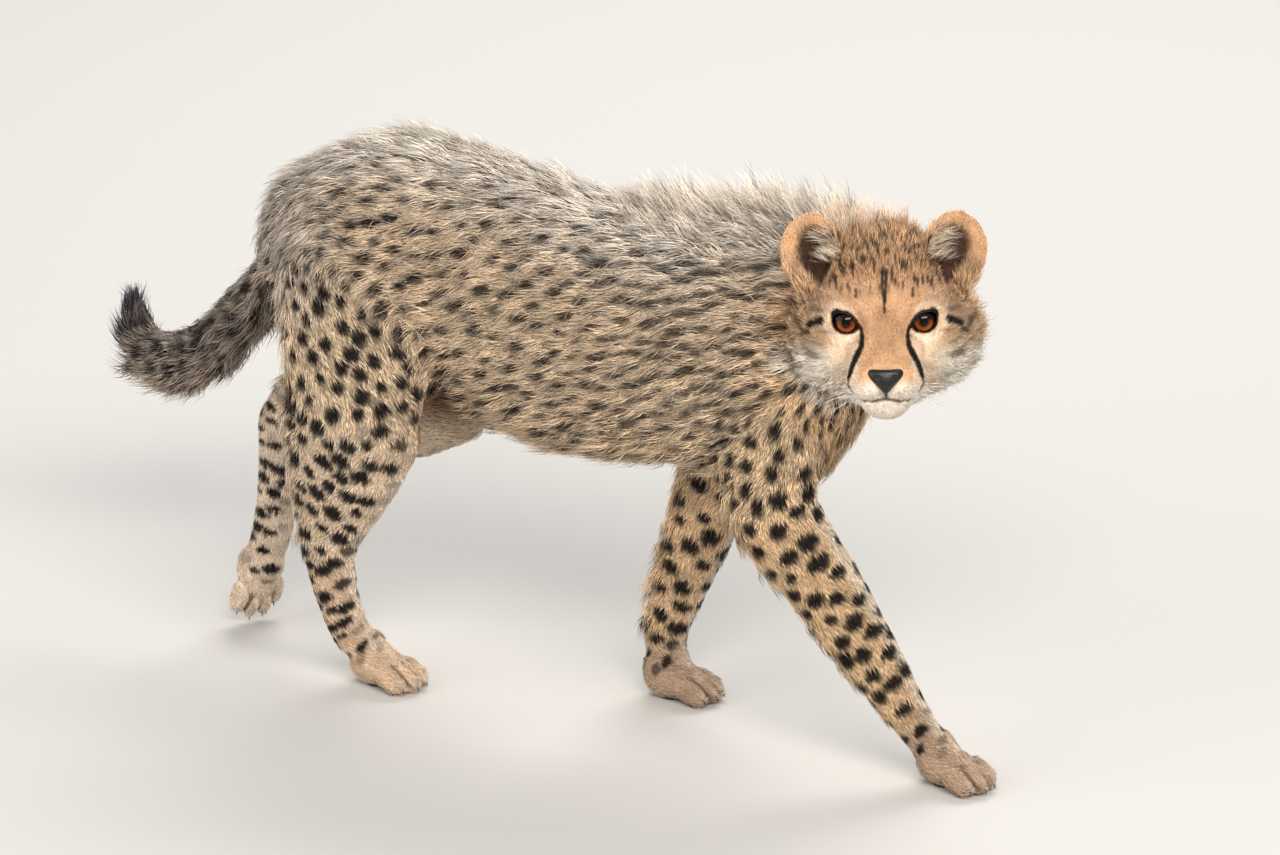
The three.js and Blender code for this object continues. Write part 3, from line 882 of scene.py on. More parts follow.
# Spots: spacing, half length along the coat, half width across it, in millimetres, and strength
spots = {
    "trunk": (16.0, 7.0, 3.9, 1), "neck": (16, 7.5, 3.6, 0.6), "mantle": (40, 2, 2, 0.2),
    "head": (60, 1, 1, 0), "ear": (60, 1, 1, 0),
    "thigh": (15.2, 6.4, 5.8, 1), "shank": (15.2, 5.6, 7.2, 1), "hind_foot": (12.6, 4.0, 7.6, 1),
    "upper_arm": (16.4, 7.4, 5.8, 1), "forearm": (17.2, 6.0, 8.2, 1), "forefoot": (13.6, 4.2, 6.8, 1),
    "tail_base": (11.5, 6, 5, 1), "tail_middle": (12.5, 5.5, 7.5, 1), "tail_tip": (17, 5, 6, 0.8),
    "small": (10.5, 4.4, 2.8, 1), "streak": (12.6, 8.2, 2.9, 0.9), "jitter": 0.16, "edge": 0.22,
}


def spotSizes():
    sizes = perKind({k: spots[k] for k in growth}, 16)
    x, z = skinPoints[:, 0], skinPoints[:, 2]
    trunk = relaxed((owned("trunk") | owned("neck")).astype(float), skinEdges, 8)
    small = trunk * smoothStep(0.35, 0.9, skinNormals[:, 2])
    small = np.maximum(small, smoothStep(-0.09, -0.18, x) * smoothStep(0.28, 0.34, z))
    sizes = mix(sizes, np.array(spots["small"]), small[:, None])
    fore = trunk * smoothStep(0.0, 0.13, x) * smoothStep(0.22, 0.28, z)
    sizes = mix(sizes, np.array(spots["streak"]), fore[:, None])
    sizes[:, :3] *= mix(0.8, 1, smoothStep(0.03, 0.07, z))[:, None]
    bare = smoothStep(0.026, 0.020, z)
    for at, *_ in pawPlaces().values():
        bare = np.maximum(bare, smoothStep(0.036, 0.028, np.linalg.norm(skinPoints - at, axis=1)))
    inner = relaxed((owned("thigh") | owned("shank")).astype(float), skinEdges, 4)
    sizes[:, 3] *= (1 - bare) * (1 - 0.8 * inner * smoothStep(0.2, 0.6, inwards()))
    throat = throatOf(skinPoints) * trunk
    sizes = mix(sizes, np.array(spots["small"]), 0.7 * throat[:, None])
    low = relaxed((owned("shank") | owned("hind_foot") | owned("forefoot")).astype(float), skinEdges, 4)
    # No spots on the forward-facing lower legs, where the pale front is partly painted light
    sizes[:, 3] *= 1 - low * smoothStep(0.5, 0.85, skinNormals[:, 0])
    return sizes


def placedSpots():
    sizes = spotSizes()
    draw = np.random.default_rng(seed)
    order = draw.permutation(len(skinPoints))
    order = order[(sizes[order, 3] > 0.25) & (sizes[order, 0] < 30)]
    kept = np.zeros((0, 3))
    chosen = []
    for i in order:
        near = len(kept) and ((kept - skinPoints[i]) ** 2).sum(1).min()
        if not len(kept) or near > (sizes[i, 0] * mm * 0.86) ** 2:
            kept = np.concatenate([kept, skinPoints[i:i + 1]])
            chosen.append(i)
    chosen = np.array(chosen)
    grow = draw.uniform(0.72, 1.18, (len(chosen), 1)) * draw.uniform(0.88, 1.12, (len(chosen), 2))
    across = np.cross(skinNormals[chosen], skinWay[chosen])
    return kept, skinWay[chosen], across, sizes[chosen, 1:3] * grow * mm, sizes[chosen, 3]


spotAt, spotAlong, spotAcross, spotHalf, spotStrength = placedSpots()
spotTree = KDTree(len(spotAt))
for i, at in enumerate(spotAt):
    spotTree.insert(at, i)
spotTree.balance()
print("stage:", len(spotAt), "spots placed")


# How dark the markings are at places on the skin, from 0 to 1
def marking(points, key):
    near = np.array([[i for _, i, _ in spotTree.find_n(p, 3)] for p in points])
    offset = points[:, None] - spotAt[near]
    along = (offset * spotAlong[near]).sum(2) / spotHalf[near][:, :, 0]
    across = (offset * spotAcross[near]).sum(2) / spotHalf[near][:, :, 1]
    away = 0.6 * np.linalg.norm(offset, axis=2) / spotHalf[near].max(2)
    reach = np.maximum(np.hypot(along, across), away)
    reach += spots["jitter"] * drift(points, 0.004, key)[:, None]
    dark = spotStrength[near] * smoothStep(1 + spots["edge"], 1 - spots["edge"], reach)
    return np.maximum(dark.max(1), faceMarking(points))


# Marks of the face, each side alike, as lines of (sideways, up) in millimetres seen from before the face
faceMarks = {
    "tear": ([(17.6, -5.0), (15.8, -12.5), (16.6, -19.2), (20.4, -25.8), (23.6, -32.1), (25.6, -39.3)],
             [1.5, 1.5, 1.9, 2.5, 3.3, 2.3], 1.0),
    "mouthCorner": ([(26.0, -39.8), (26.8, -45.0), (23.0, -51)], [1.3, 1.2, 0.8], 0.85),
    "brow": ([(1.6, 34), (0.8, 17), (-0.4, 4.0)], [0.8, 0.9, 0.4], 0.95),
    "aboveEye": ([(20.0, 21), (19.4, 15.5)], [0.9, 0.9], 0.85),
    "temple": ([(45.0, -0.5), (52.0, -3.0)], [3.0, 2.6], 1.0),
    "lowerTemple": ([(53, -8), (57, -9.5)], [2.0, 1.6], 0.85),
    "mouth": ([(0, -54.8), (5, -56.3), (10, -57.0), (16, -57.0)], [1.0, 0.9, 0.6, 0.2], 0.85),
    "cleft": ([(0, -48), (0, -55)], [0.8, 0.9], 0.9),
    "cheek": ([(47, -26), (54, -23)], [1.5, 1.6], 0.6),
    "lowerCheek": ([(44, -17), (50, -15)], [0.9, 1.0], 0.4),
}


# A place in the head's frame as the marks are measured: depth counts for less, so that raised hair keeps
# the marks of the skin under it
def markView(h):
    side, height = faceView(h)
    return np.stack([0.7 * h[:, 0], side, height], 1)


# A mark's line laid on the face: short steps, each as deep as the foremost skin there
def laidOnFace(stops, widths):
    near = skinHead[owned("head") & (skinHead[:, 0] > -40)]
    view = markView(near)
    line, radii = [], []
    for (a, b), (c, d), r0, r1 in zip(stops, stops[1:], widths, widths[1:]):
        steps = max(1, round(math.hypot(c - a, d - b) / 2.5))
        for t in np.arange(steps + (stops[-1] == (c, d))) / steps:
            side, height = abs(mix(a, c, t)), mix(b, d, t)
            away = np.hypot(view[:, 1] - side, view[:, 2] - height)
            line.append((view[away < away.min() + 0.8, 0].max(), side, height))
            radii.append(mix(r0, r1, t))
    return line, radii


markLines = [(*laidOnFace(line, widths), strength) for line, widths, strength in faceMarks.values()]


# The black margin of the lids, widest above and drawn out at the outer corner
def lidMargin(q):
    _, across, up = unturned(q, eyeAt, lids["turnOut"], lids["turnUp"], lids["tilt"])
    width = 0.55 + 1.35 * smoothStep(-2, 5, up) + 1.5 * smoothStep(6, 10, across) * smoothStep(-2, 2, up)
    width = width + 0.5 * smoothStep(-6.5, -9.5, across)
    return smoothStep(0.35, -0.35, lidEdge(q) - width)


def faceMarking(points):
    dark = np.zeros(len(points))
    h = toHead(points)
    near = (h[:, 0] > -40) & (np.abs(h[:, 1]) < 70) & (h[:, 2] > -66) & (h[:, 2] < 60)
    dark[near] = markedFace(h[near])
    return dark


def markedFace(h):
    view = markView(h)
    side, height = view[:, 1], view[:, 2]
    ragged = drift(np.stack([side, height, np.zeros_like(side)], 1), 3.2, 42)
    dark = np.zeros(len(h))
    for line, widths, strength in markLines:
        away = chain(view, line, widths) - 0.2 + 0.2 * ragged
        dark = np.maximum(dark, strength * smoothStep(0.5, -0.5, away))
    q = h.copy()
    q[:, 1] = side
    dark = np.maximum(dark, lidMargin(q))
    streak = drift(np.stack([h[:, 1], height * 0.22, h[:, 0] * 0.22], 1), 2.8, 41)
    crown = smoothStep(11, 27, height) * smoothStep(46, 36, side)
    dark = np.maximum(dark, 0.85 * crown * smoothStep(0.05, 0.9, streak))
    streak = drift(np.stack([side * 0.2, height, h[:, 0] * 0.2], 1), 6, 43)
    cheek = smoothStep(34, 46, side) * smoothStep(14, 2, height) * smoothStep(-44, -26, height)
    return np.maximum(dark, 0.75 * cheek * smoothStep(0.5, 1.2, streak))


# Unwrap of the skin's own shape, on a coarse copy, that tells each root its place on the map
unwrap = {"voxel": 0.007, "angle": 60, "margin": 0.004}


def makeUnwrap():
    coarse = place("unwrap", remeshed(skinMesh.copy(), unwrap["voxel"]))
    bpy.context.view_layer.objects.active = coarse
    coarse.select_set(True)
    bpy.ops.object.mode_set(mode="EDIT")
    bpy.ops.mesh.select_all(action="SELECT")
    bpy.ops.uv.smart_project(angle_limit=math.radians(unwrap["angle"]), island_margin=unwrap["margin"])
    bpy.ops.object.mode_set(mode="OBJECT")
    mesh = coarse.data
    mesh.calc_loop_triangles()
    count = len(mesh.loop_triangles)
    loops, corners = np.zeros(count * 3, np.int32), np.zeros(count * 3, np.int32)
    mesh.loop_triangles.foreach_get("loops", loops)
    mesh.loop_triangles.foreach_get("vertices", corners)
    uv = np.zeros(len(mesh.loops) * 2, np.float32)
    mesh.uv_layers.active.data.foreach_get("uv", uv)
    points = pointsOf(mesh)
    faces = corners.reshape(-1, 3)
    bpy.data.objects.remove(coarse)
    return points, faces, uv.reshape(-1, 2)[loops.reshape(-1, 3)]


unwrapPoints, unwrapFaces, unwrapUv = makeUnwrap()
unwrapTree = BVHTree.FromPolygons(unwrapPoints.tolist(), unwrapFaces.tolist())
print("stage: skin unwrapped")


def mapPlace(points):
    found = [unwrapTree.find_nearest(Vector(p)) for p in points]
    face = np.array([f[2] for f in found])
    at = np.array([f[0][:] for f in found])
    a, b, c = (unwrapPoints[unwrapFaces[face, i]] for i in range(3))
    normal = np.cross(b - a, c - a)
    scale = np.maximum((normal * normal).sum(1), 1e-18)
    wb = (np.cross(at - a, c - a) * normal).sum(1) / scale
    wc = (np.cross(b - a, at - a) * normal).sum(1) / scale
    weights = np.stack([1 - wb - wc, wb, wc], 1)
    return (unwrapUv[face] * weights[:, :, None]).sum(1)


# Roots of tufts spread evenly over some of the skin's triangles
def roots(wanted, crowding, key, apart=None):
    draw = np.random.default_rng(seed * 100 + key)
    faces = np.zeros(len(skinMesh.polygons) * 3, np.int32)
    skinMesh.polygons.foreach_get("vertices", faces)
    faces = faces.reshape(-1, 3)
    faces = faces[wanted[faces].sum(1) >= 2]
    a, b, c = (skinPoints[faces[:, i]] for i in range(3))
    area = np.linalg.norm(np.cross(b - a, c - a), axis=1) / 2
    spacing = (skinGrowth[faces, 2].mean(1) if apart is None else apart) * mm
    total = np.cumsum(area / spacing ** 2 * crowding)
    steps = np.arange(int(total[-1])) + draw.uniform(0, 1, int(total[-1]))
    face = faces[np.minimum(np.searchsorted(total, steps), len(faces) - 1)]
    r, q = np.sqrt(draw.uniform(0, 1, len(steps))), draw.uniform(0, 1, len(steps))
    return face, np.stack([1 - r, r * (1 - q), r * q], 1), draw


def spread(values, face, weights):
    return np.einsum("nk,nk...->n...", weights, values[face])


tuftLevels = (0.0, 0.42, 1.0)
tuftLag = 0.35      # how much of its length a tuft carries a spot down the coat
tuftShape = {"ridge": 0.35, "sunk": 0.8, "patch": 0.003}


# Solid tufts: from a point under the skin a low three-sided blade widens, bends along the coat and
# narrows to its tip. colour gives the tint at places on the tufts, one row for each level
def tuftMesh(name, grown, levels, colour, key):
    at, way, out, length, width, rise, droop = grown
    draw = np.random.default_rng(seed * 10 + key)
    count, last = len(at), len(levels) - 1
    across = unit(np.cross(out, way))
    curl = draw.normal(0, 0.10, (count, 1)) * length
    rings, centres = [], []
    for k, s in enumerate(levels):
        lift = out * length * (rise * s - droop * s * s)
        centre = at + way * length * s + lift + across * curl * s * s
        centres.append(centre)
        if k in (0, last):
            rings.append((centre - out * tuftShape["sunk"] * mm * (k == 0))[:, None])
            continue
        w = width * 0.5 * (1 - s ** 3)
        ridge = centre + out * w * 2 * tuftShape["ridge"]
        rings.append(np.stack([centre + across * w, centre - across * w, ridge], 1))
    points = np.concatenate(rings, 1)
    each = points.shape[1]
    pairs = ((0, 1), (1, 2), (2, 0))
    faces = [(0, 1 + j, 1 + i) for i, j in pairs]
    for k in range(last - 2):
        a = 1 + 3 * k
        for i, j in pairs:
            faces += [(a + i, a + j, a + 3 + j), (a + i, a + 3 + j, a + 3 + i)]
    faces += [(each - 4 + i, each - 4 + j, each - 1) for i, j in pairs]
    faces = np.array(faces)[:, ::-1]
    allFaces = (faces[None] + np.arange(count)[:, None, None] * each).reshape(-1, 3)
    mesh = rawMesh(name, points.reshape(-1, 3), allFaces)
    mesh.polygons.foreach_set("use_smooth", np.ones(len(allFaces), bool))
    sizes = [1] + [3] * (last - 1) + [1]
    tint = np.repeat(np.stack(colour(centres), 1), sizes, axis=1)
    colours = np.ones((count, each, 4), np.float32)
    colours[..., :3] = tint
    layer = mesh.color_attributes.new("tint", "FLOAT_COLOR", "POINT")
    layer.data.foreach_set("color", colours.ravel())
    along = np.repeat(levels, sizes)
    sideways = np.array([0] + [0.5, -0.5, 0] * (last - 1) + [0])
    patch = np.stack([sideways, along - 0.5], 1) * tuftShape["patch"]
    uv = mapPlace(at)[:, None] + patch[None]
    flat = uv.reshape(-1, 2)[allFaces.ravel()].astype(np.float32)
    mesh.uv_layers.new(name="OFBake").data.foreach_set("uv", flat.ravel())
    return mesh


# Locks: long tufts lean towards a leader near them, and share its brightness and its rise
locks = {"share": 0.06, "pull": 0.45, "bright": 0.15, "rise": 0.22, "short": 5, "long": 14}


def leadersOf(at, draw):
    order = draw.permutation(len(at))[:max(1, int(len(at) * locks["share"]))]
    tree = KDTree(len(order))
    for i in order:
        tree.insert(at[i], i)
    tree.balance()
    return np.array([tree.find(p)[1] for p in at])


# How much dark and pale hair is mixed in, tuft by tuft
def grizzle(at):
    h = toHead(at)
    side, height = faceView(h)
    onHead = smoothStep(0.10, 0.085, np.linalg.norm(at - headAt, axis=1))
    crown = smoothStep(14, 30, height) * smoothStep(50, 36, side)
    cheek = 0.22 + 0.14 * smoothStep(24, 42, side)
    cheek = cheek + 0.2 * smoothStep(15, 7, side) * smoothStep(14, 0, height)
    body = 0.35 + 0.4 * smoothStep(-0.08, -0.17, at[:, 0]) * smoothStep(0.26, 0.33, at[:, 2])
    body = body * smoothStep(0.16, 0.24, at[:, 2])
    return mix(body, np.maximum(crown, cheek), onHead)


# A coat piece over part of the skin
def coatPiece(name, wanted, key, crowding=1.0, paleTips=0.25):
    face, weights, draw = roots(wanted, crowding, key)
    at = spread(skinPoints, face, weights)
    out = unit(spread(skinNormals, face, weights))
    way = spread(skinWay, face, weights)
    length, width, _, rise = spread(skinGrowth, face, weights).T
    tint = spread(skinTint, face, weights)
    leader = leadersOf(at, draw)
    loose = smoothStep(locks["short"], locks["long"], length)
    sway = drift(at, 0.03, 11) * 0.20 + drift(at, 0.011, 12) * 0.15 + draw.normal(0, 0.10, len(at))
    way = unit(way + np.cross(out, way) * sway[:, None])
    way = unit(way + (at[leader] - at) / (length * mm / locks["pull"] / np.maximum(loose, 0.05))[:, None])
    vary = draw.uniform(0.72, 1.25, len(at)) * (1 + 0.12 * drift(at, 0.02, 13))
    lift = 1 + loose * draw.normal(0, locks["rise"], len(at))[leader]
    steep = rise * lift * np.clip(draw.normal(1, 0.2, len(at)) + 0.2 * drift(at, 0.014, 14), 0.3, 1.9)
    shine = 1 + loose * draw.normal(0, locks["bright"], len(at))[leader]
    mixed = grizzle(at) * draw.uniform(0, 1, len(at)) ** 3
    patchy = 0.10 * drift(at, 0.018, 15) + 0.06 * drift(at, 0.005, 16)
    bright = shine * (1 + patchy + draw.normal(0, 0.13, len(at)))
    bright = np.clip(bright, 0.5, 1.45)[:, None] * (1 - 0.85 * mixed[:, None])
    lag = way * (length * vary * tuftLag * mm)[:, None]
    deep, deepTip = np.array(shades["dark"])

    def colour(centres):
        rows = []
        for s, centre in zip(tuftLevels, centres):
            dark = marking(centre - lag * s, 21)[:, None] * (1 - paleTips * (s > 0.9))
            # from root to tip: the darker root colour is partly painted shade deep in the coat
            plain = mix(tint[:, :3], tint[:, 3:], s ** 0.7) * bright
            rows.append(mix(plain, mix(deep, deepTip, s), dark))
        return rows

    grown = (at, way, out, (length * vary * mm)[:, None], (width * mm)[:, None], steep[:, None],
             (steep * 0.62)[:, None])
    return finishedCoat(tuftMesh(name, grown, tuftLevels, colour, key), len(at))


# Long hair over the coat: wisps over the body, the pale hair in the ears, and the mantle along the nape and
# the withers; sizes in millimetres, "soon" sets how near its root a hair takes the colour of its tip
longHair = {
    "wisps": {"levels": (0.0, 0.45, 1.0), "long": 24, "wide": 0.40, "spacing": 4.9, "rise": 0.6, "bend": 0.6,
              "upright": 0, "sway": 0.14, "pale": 0.45, "soon": 0.6, "tips": (1.0, 0.90, 0.76)},
    "ear": {"levels": (0.0, 0.45, 1.0), "long": 13, "wide": 0.36, "spacing": 1.2, "rise": 0.6, "bend": 0.35,
            "upright": 0, "sway": 0.8, "pale": 0.85, "soon": 0.3, "tips": (1.0, 0.88, 0.70)},
    "mantle": {"levels": (0.0, 0.3, 0.65, 1.0), "long": 43, "wide": 0.64, "spacing": 1.5, "rise": 1.1,
               "bend": 0.42, "upright": 0.5, "sway": 0.14, "pale": 0.65, "soon": 0.6,
               "tips": (0.98, 0.87, 0.74)},
}


def longPiece(name, wanted, style, key, lengthen, towards=None):
    size = longHair[style]
    levels = size["levels"]
    face, weights, draw = roots(wanted, 1.0, key, size["spacing"])
    at = spread(skinPoints, face, weights)
    out = unit(spread(skinNormals, face, weights) + [0, 0, 1.7 * size["upright"]])
    way = spread(skinWay if towards is None else towards, face, weights)
    leader = leadersOf(at, draw)
    length = size["long"] * mm * draw.uniform(0.6, 1.15, len(at)) * spread(lengthen, face, weights)
    sway = drift(at, 0.02, 31) * 0.30 + draw.normal(0, size["sway"], len(at))
    way = unit(way + np.cross(out, way) * sway[:, None])
    way = unit(way + (at[leader] - at) / length[:, None] * 1.2) * (1 - size["upright"])
    vary = draw.normal(0, 0.2, len(at))[leader] + draw.normal(0, 0.12, len(at))
    rise = size["rise"] * np.clip(1 + vary, 0.45, 1.6)
    shine = draw.normal(0, 0.12, len(at))[leader] + draw.normal(0, 0.08, len(at))
    bright = np.clip(1 + shine, 0.5, 1.4)[:, None]
    tint = spread(skinTint, face, weights)
    tip = mix(tint[:, 3:], np.array(size["tips"]), size["pale"]) * bright
    dark = marking(at + way * 0.004, 35)[:, None] * 0.9
    deep = np.array(shades["dark"][1])

    def colour(_):
        rows = []
        for s in levels:
            # from root to tip: the darker root colour is partly painted shade deep in the coat
            plain = mix(tint[:, :3] * bright, tip, s ** size["soon"])
            rows.append(mix(plain, deep, dark * (1 - 0.5 * s)))
        return rows

    grown = (at, way, out, length[:, None], np.full((len(at), 1), size["wide"] * mm), rise[:, None],
             (rise * size["bend"])[:, None])
    return finishedCoat(tuftMesh(name, grown, levels, colour, key), len(at))


def finishedCoat(mesh, count):
    piece = place(mesh.name, mesh)
    mesh.materials.append(hairMaterial)
    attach(piece, "root")
    print("stage:", mesh.name, count, "tufts", len(mesh.polygons), "triangles")
    return piece


def coatMaterial(name, roughness, sheen, bump):
    material = bpy.data.materials.new(name)
    material.use_nodes = True
    tree = material.node_tree
    shader = tree.nodes["Principled BSDF"]
    shader.inputs["Roughness"].default_value = roughness
    shader.inputs["Sheen Weight"].default_value = sheen
    shader.inputs["Sheen Roughness"].default_value = 0.5
    shader.inputs["Specular IOR Level"].default_value = 0.12
    tint = tree.nodes.new("ShaderNodeAttribute")
    tint.attribute_name = "tint"
    where = tree.nodes.new("ShaderNodeTexCoord")
    fleck = tree.nodes.new("ShaderNodeTexNoise")
    fleck.inputs["Scale"].default_value = 900
    fleck.inputs["Detail"].default_value = 2
    shade = tree.nodes.new("ShaderNodeMapRange")
    shade.inputs["From Min"].default_value = 0.3
    shade.inputs["From Max"].default_value = 0.7
    shade.inputs["To Min"].default_value = 0.82
    shade.inputs["To Max"].default_value = 1.16
    speckled = tree.nodes.new("ShaderNodeVectorMath")
    speckled.operation = "SCALE"
    tree.links.new(where.outputs["Object"], fleck.inputs["Vector"])
    tree.links.new(fleck.outputs["Fac"], shade.inputs["Value"])
    tree.links.new(tint.outputs["Color"], speckled.inputs[0])
    tree.links.new(shade.outputs["Result"], speckled.inputs["Scale"])
    tree.links.new(speckled.outputs["Vector"], shader.inputs["Base Color"])
    if bump:
        raised = tree.nodes.new("ShaderNodeBump")
        raised.inputs["Strength"].default_value = bump
        raised.inputs["Distance"].default_value = 0.0006
        tree.links.new(fleck.outputs["Fac"], raised.inputs["Height"])
        tree.links.new(raised.outputs["Normal"], shader.inputs["Normal"])
    return material


skinMaterial = coatMaterial("skin under the coat", 0.85, 0.05, 0.8)
hairMaterial = coatMaterial("hair", 0.6, 0.03, 0)


def finishSkin():
    q = skinHead.copy()
    q[:, 1] = np.abs(q[:, 1])
    dark = np.maximum(marking(skinPoints, 21), smoothStep(2.0, 1.0, lipEdge(q)))
    base = mix(skinTint[:, :3], skinTint[:, 3:], 0.25)
    colours = np.ones((len(skinPoints), 4), np.float32)
    colours[:, :3] = mix(base, np.array(shades["dark"][0]), dark[:, None])
    layer = skinMesh.color_attributes.new("tint", "FLOAT_COLOR", "POINT")
    layer.data.foreach_set("color", colours.ravel())
    skinMesh.polygons.foreach_set("use_smooth", np.ones(len(skinMesh.polygons), bool))
    skinMesh.materials.clear()
    skinMesh.materials.append(skinMaterial)
    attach(skin, "root")
    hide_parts(*fleshNodes)


finishSkin()


# Skin to be left bare: the rims of the lids, the nose pad, the lips and the pads under the paws; only the
# head's coat leaves it out
def bareSkin():
    q = skinHead.copy()
    q[:, 1] = np.abs(q[:, 1])
    rims = (lidEdge(q) < 1.9) & (np.linalg.norm(q - eyeAt, axis=1) < 22)
    nose = ellipsoid(q, noseAt, [9.5, 14.6, 10]) < 0
    pads = np.minimum.reduce([padField(toPaw(skinPoints, *where)) for where in pawPlaces().values()]) < 0.4
    lips = (lipEdge(q) < mix(1.2, 2.0, smoothStep(34, 46, q[:, 0]))) & (q[:, 0] > 20)
    return rims | nose | pads | lips


# How many tufts grow for each one that the spacing asks for; the left side is the farther one
crowded = {"right": 1.0, "left": 0.8, "head": 1.2, "fore": 1.15}


def growCoat():
    bare = bareSkin()
    front = skinHead[:, 0] > -8
    right = skinPoints[:, 1] < middle("trunk")[1]
    head = owned("head") & ~bare
    trunk = owned("trunk") | owned("neck") | owned("mantle")
    coatPiece("coat_face", head & front, 1, paleTips=0.0)
    coatPiece("coat_head", (head & ~front) | owned("ear"), 2, crowded["head"], paleTips=0.1)
    ahead = skinPoints[:, 0] > middle("trunk")[0]
    for side, half, key in (("right", right, 3), ("left", ~right, 4)):
        dense = crowded[side]
        forward = dense * crowded["fore"]
        coatPiece("coat_trunk_hind_" + side, trunk & half & ~ahead, key, dense, paleTips=0.2)
        coatPiece("coat_trunk_fore_" + side, trunk & half & ahead, key + 10, forward, paleTips=0.2)
        hind = owned("thigh") | owned("shank") | owned("hind_foot")
        fore = owned("upper_arm") | owned("forearm") | owned("forefoot")
        coatPiece("coat_hind_leg_" + side, hind & half, key + 2, dense, paleTips=0.05)
        coatPiece("coat_foreleg_" + side, fore & half, key + 4, dense, paleTips=0.05)
    tail = owned("tail_base") | owned("tail_middle") | owned("tail_tip")
    coatPiece("coat_tail", tail, 9, paleTips=0.08)
    longPiece("coat_wisps", trunk | tail, "wisps", 10, np.ones(len(skinPoints)))
    growMantle()
    growEarHair()


# Pale hair that reaches across the bowl of each ear from its inner edge
def growEarHair():
    deep, across, tall = toEar(skinHead).T
    edge = (across > -24) & (across < -5) & (tall > -2) & (tall < 24) & (deep > -6) & (deep < 16)
    wanted = edge & (skinNormals @ headWay[0] > 0.1) & (owned("ear") | owned("head"))
    side = np.sign(skinHead[:, 1])
    ones = np.ones_like(side)
    towards = unit(np.stack([0.35 * ones, 0.8 * side, 0.55 * ones], 1)) @ headWay
    longPiece("coat_ear_hair", wanted, "ear", 12, ones, towards)


# The mantle springs from a strip along the nape and the withers, longest in its middle
def growMantle():
    low, high = (np.array(corner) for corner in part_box("mantle"))
    centre, half = (low + high) / 2, (high - low) / 2
    x, y, z = skinPoints.T
    along = (x - centre[0]) / (half[0] + 0.022)
    beside = (y - centre[1] - 0.004) / (half[1] + 0.012)
    inside = np.hypot(along ** 2, beside)
    wanted = (inside < 1) & (skinNormals[:, 2] > 0.15) & (z > low[2] - 0.05)
    lengthen = mix(1.0, 0.5, smoothStep(0.3, 1.0, inside))
    longPiece("coat_mantle", wanted, "mantle", 11, lengthen)


def plainMaterial(name, colour, roughness):
    material = bpy.data.materials.new(name)
    material.use_nodes = True
    shader = material.node_tree.nodes["Principled BSDF"]
    shader.inputs["Base Color"].default_value = (*colour, 1)
    shader.inputs["Roughness"].default_value = roughness
    return material


# Mesh of a grid of points that closes round its columns, capped at both ends by a fan
def loft(name, rings, closed=True):
    rings = np.asarray(rings, float)
    rows, columns = rings.shape[:2]
    number = np.arange(rows * columns).reshape(rows, columns)
    after = np.roll(number, -1, 1)
    quads = np.stack([number[:-1], after[:-1], after[1:], number[1:]], -1).reshape(-1, 4)
    faces = quads.tolist()
    points = rings.reshape(-1, 3).tolist()
    if closed:
        for row, order in ((0, -1), (rows - 1, 1)):
            points.append(rings[row].mean(0).tolist())
            ends = [(int(number[row, i]), int(after[row, i]), len(points) - 1) for i in range(columns)]
            faces += [end[::order] for end in ends]
    mesh = bpy.data.meshes.new(name)
    mesh.from_pydata(points, [], faces)
    facing(mesh)
    mesh.polygons.foreach_set("use_smooth", np.ones(len(mesh.polygons), bool))
    return mesh


def finished(mesh, material, slot, *replaced):
    piece = place(mesh.name, mesh)
    mesh.materials.append(material)
    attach(piece, "root")
    if replaced:
        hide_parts(*replaced)
    return piece


# Eyes: balls with a low cornea, their amber iris painted by a map centred on the gaze, with a painted shadow
# of the upper lid over its top
eyes = {
    "gazeOut": 3, "gazeUp": 2, "iris": 7.7, "pupil": 2.9, "cornea": 7.4, "bulge": 0.9,
    "rows": 48, "columns": 64, "mapWide": 24, "black": (0.004, 0.003, 0.003),
    "amber": (0.12, 0.026, 0.006), "bright": (0.26, 0.062, 0.014), "rim": (0.020, 0.007, 0.004),
}


def eyeMesh(name, side):
    rings, flat = [], []
    for polar in np.linspace(0, math.pi, eyes["rows"] + 1)[1:-1]:
        angle = np.linspace(0, 2 * math.pi, eyes["columns"], endpoint=False)
        ahead = np.full_like(angle, math.cos(polar))
        ring = np.stack([ahead, math.sin(polar) * np.cos(angle), math.sin(polar) * np.sin(angle)], 1)
        off = eyeRadius * math.sin(polar)
        lift = eyes["bulge"] * max(0, 1 - (off / eyes["cornea"]) ** 2) if polar < math.pi / 2 else 0
        rings.append(ring * (eyeRadius + lift))
        flat.append(np.stack([np.cos(angle), np.sin(angle)], 1) * min(eyeRadius * polar, eyes["mapWide"]))
    a, b = math.radians(eyes["gazeOut"]) * side, math.radians(eyes["gazeUp"])
    ahead = np.array([math.cos(a) * math.cos(b), math.sin(a) * math.cos(b), math.sin(b)])
    left = np.array([-math.sin(a), math.cos(a), 0])
    turn = np.array([ahead, left, np.cross(ahead, left)])
    centre = eyeAt * [1, side, 1]
    mesh = loft(name, [fromHead(centre + ring @ turn) for ring in rings])
    places = np.concatenate(flat + [[[0, 0]], [[eyes["mapWide"], 0]]])
    corners = np.zeros(len(mesh.loops), np.int32)
    mesh.loops.foreach_get("vertex_index", corners)
    uv = (places / eyes["mapWide"])[corners].astype(np.float32)
    mesh.uv_layers.new(name="gaze").data.foreach_set("uv", uv.ravel())
    return mesh


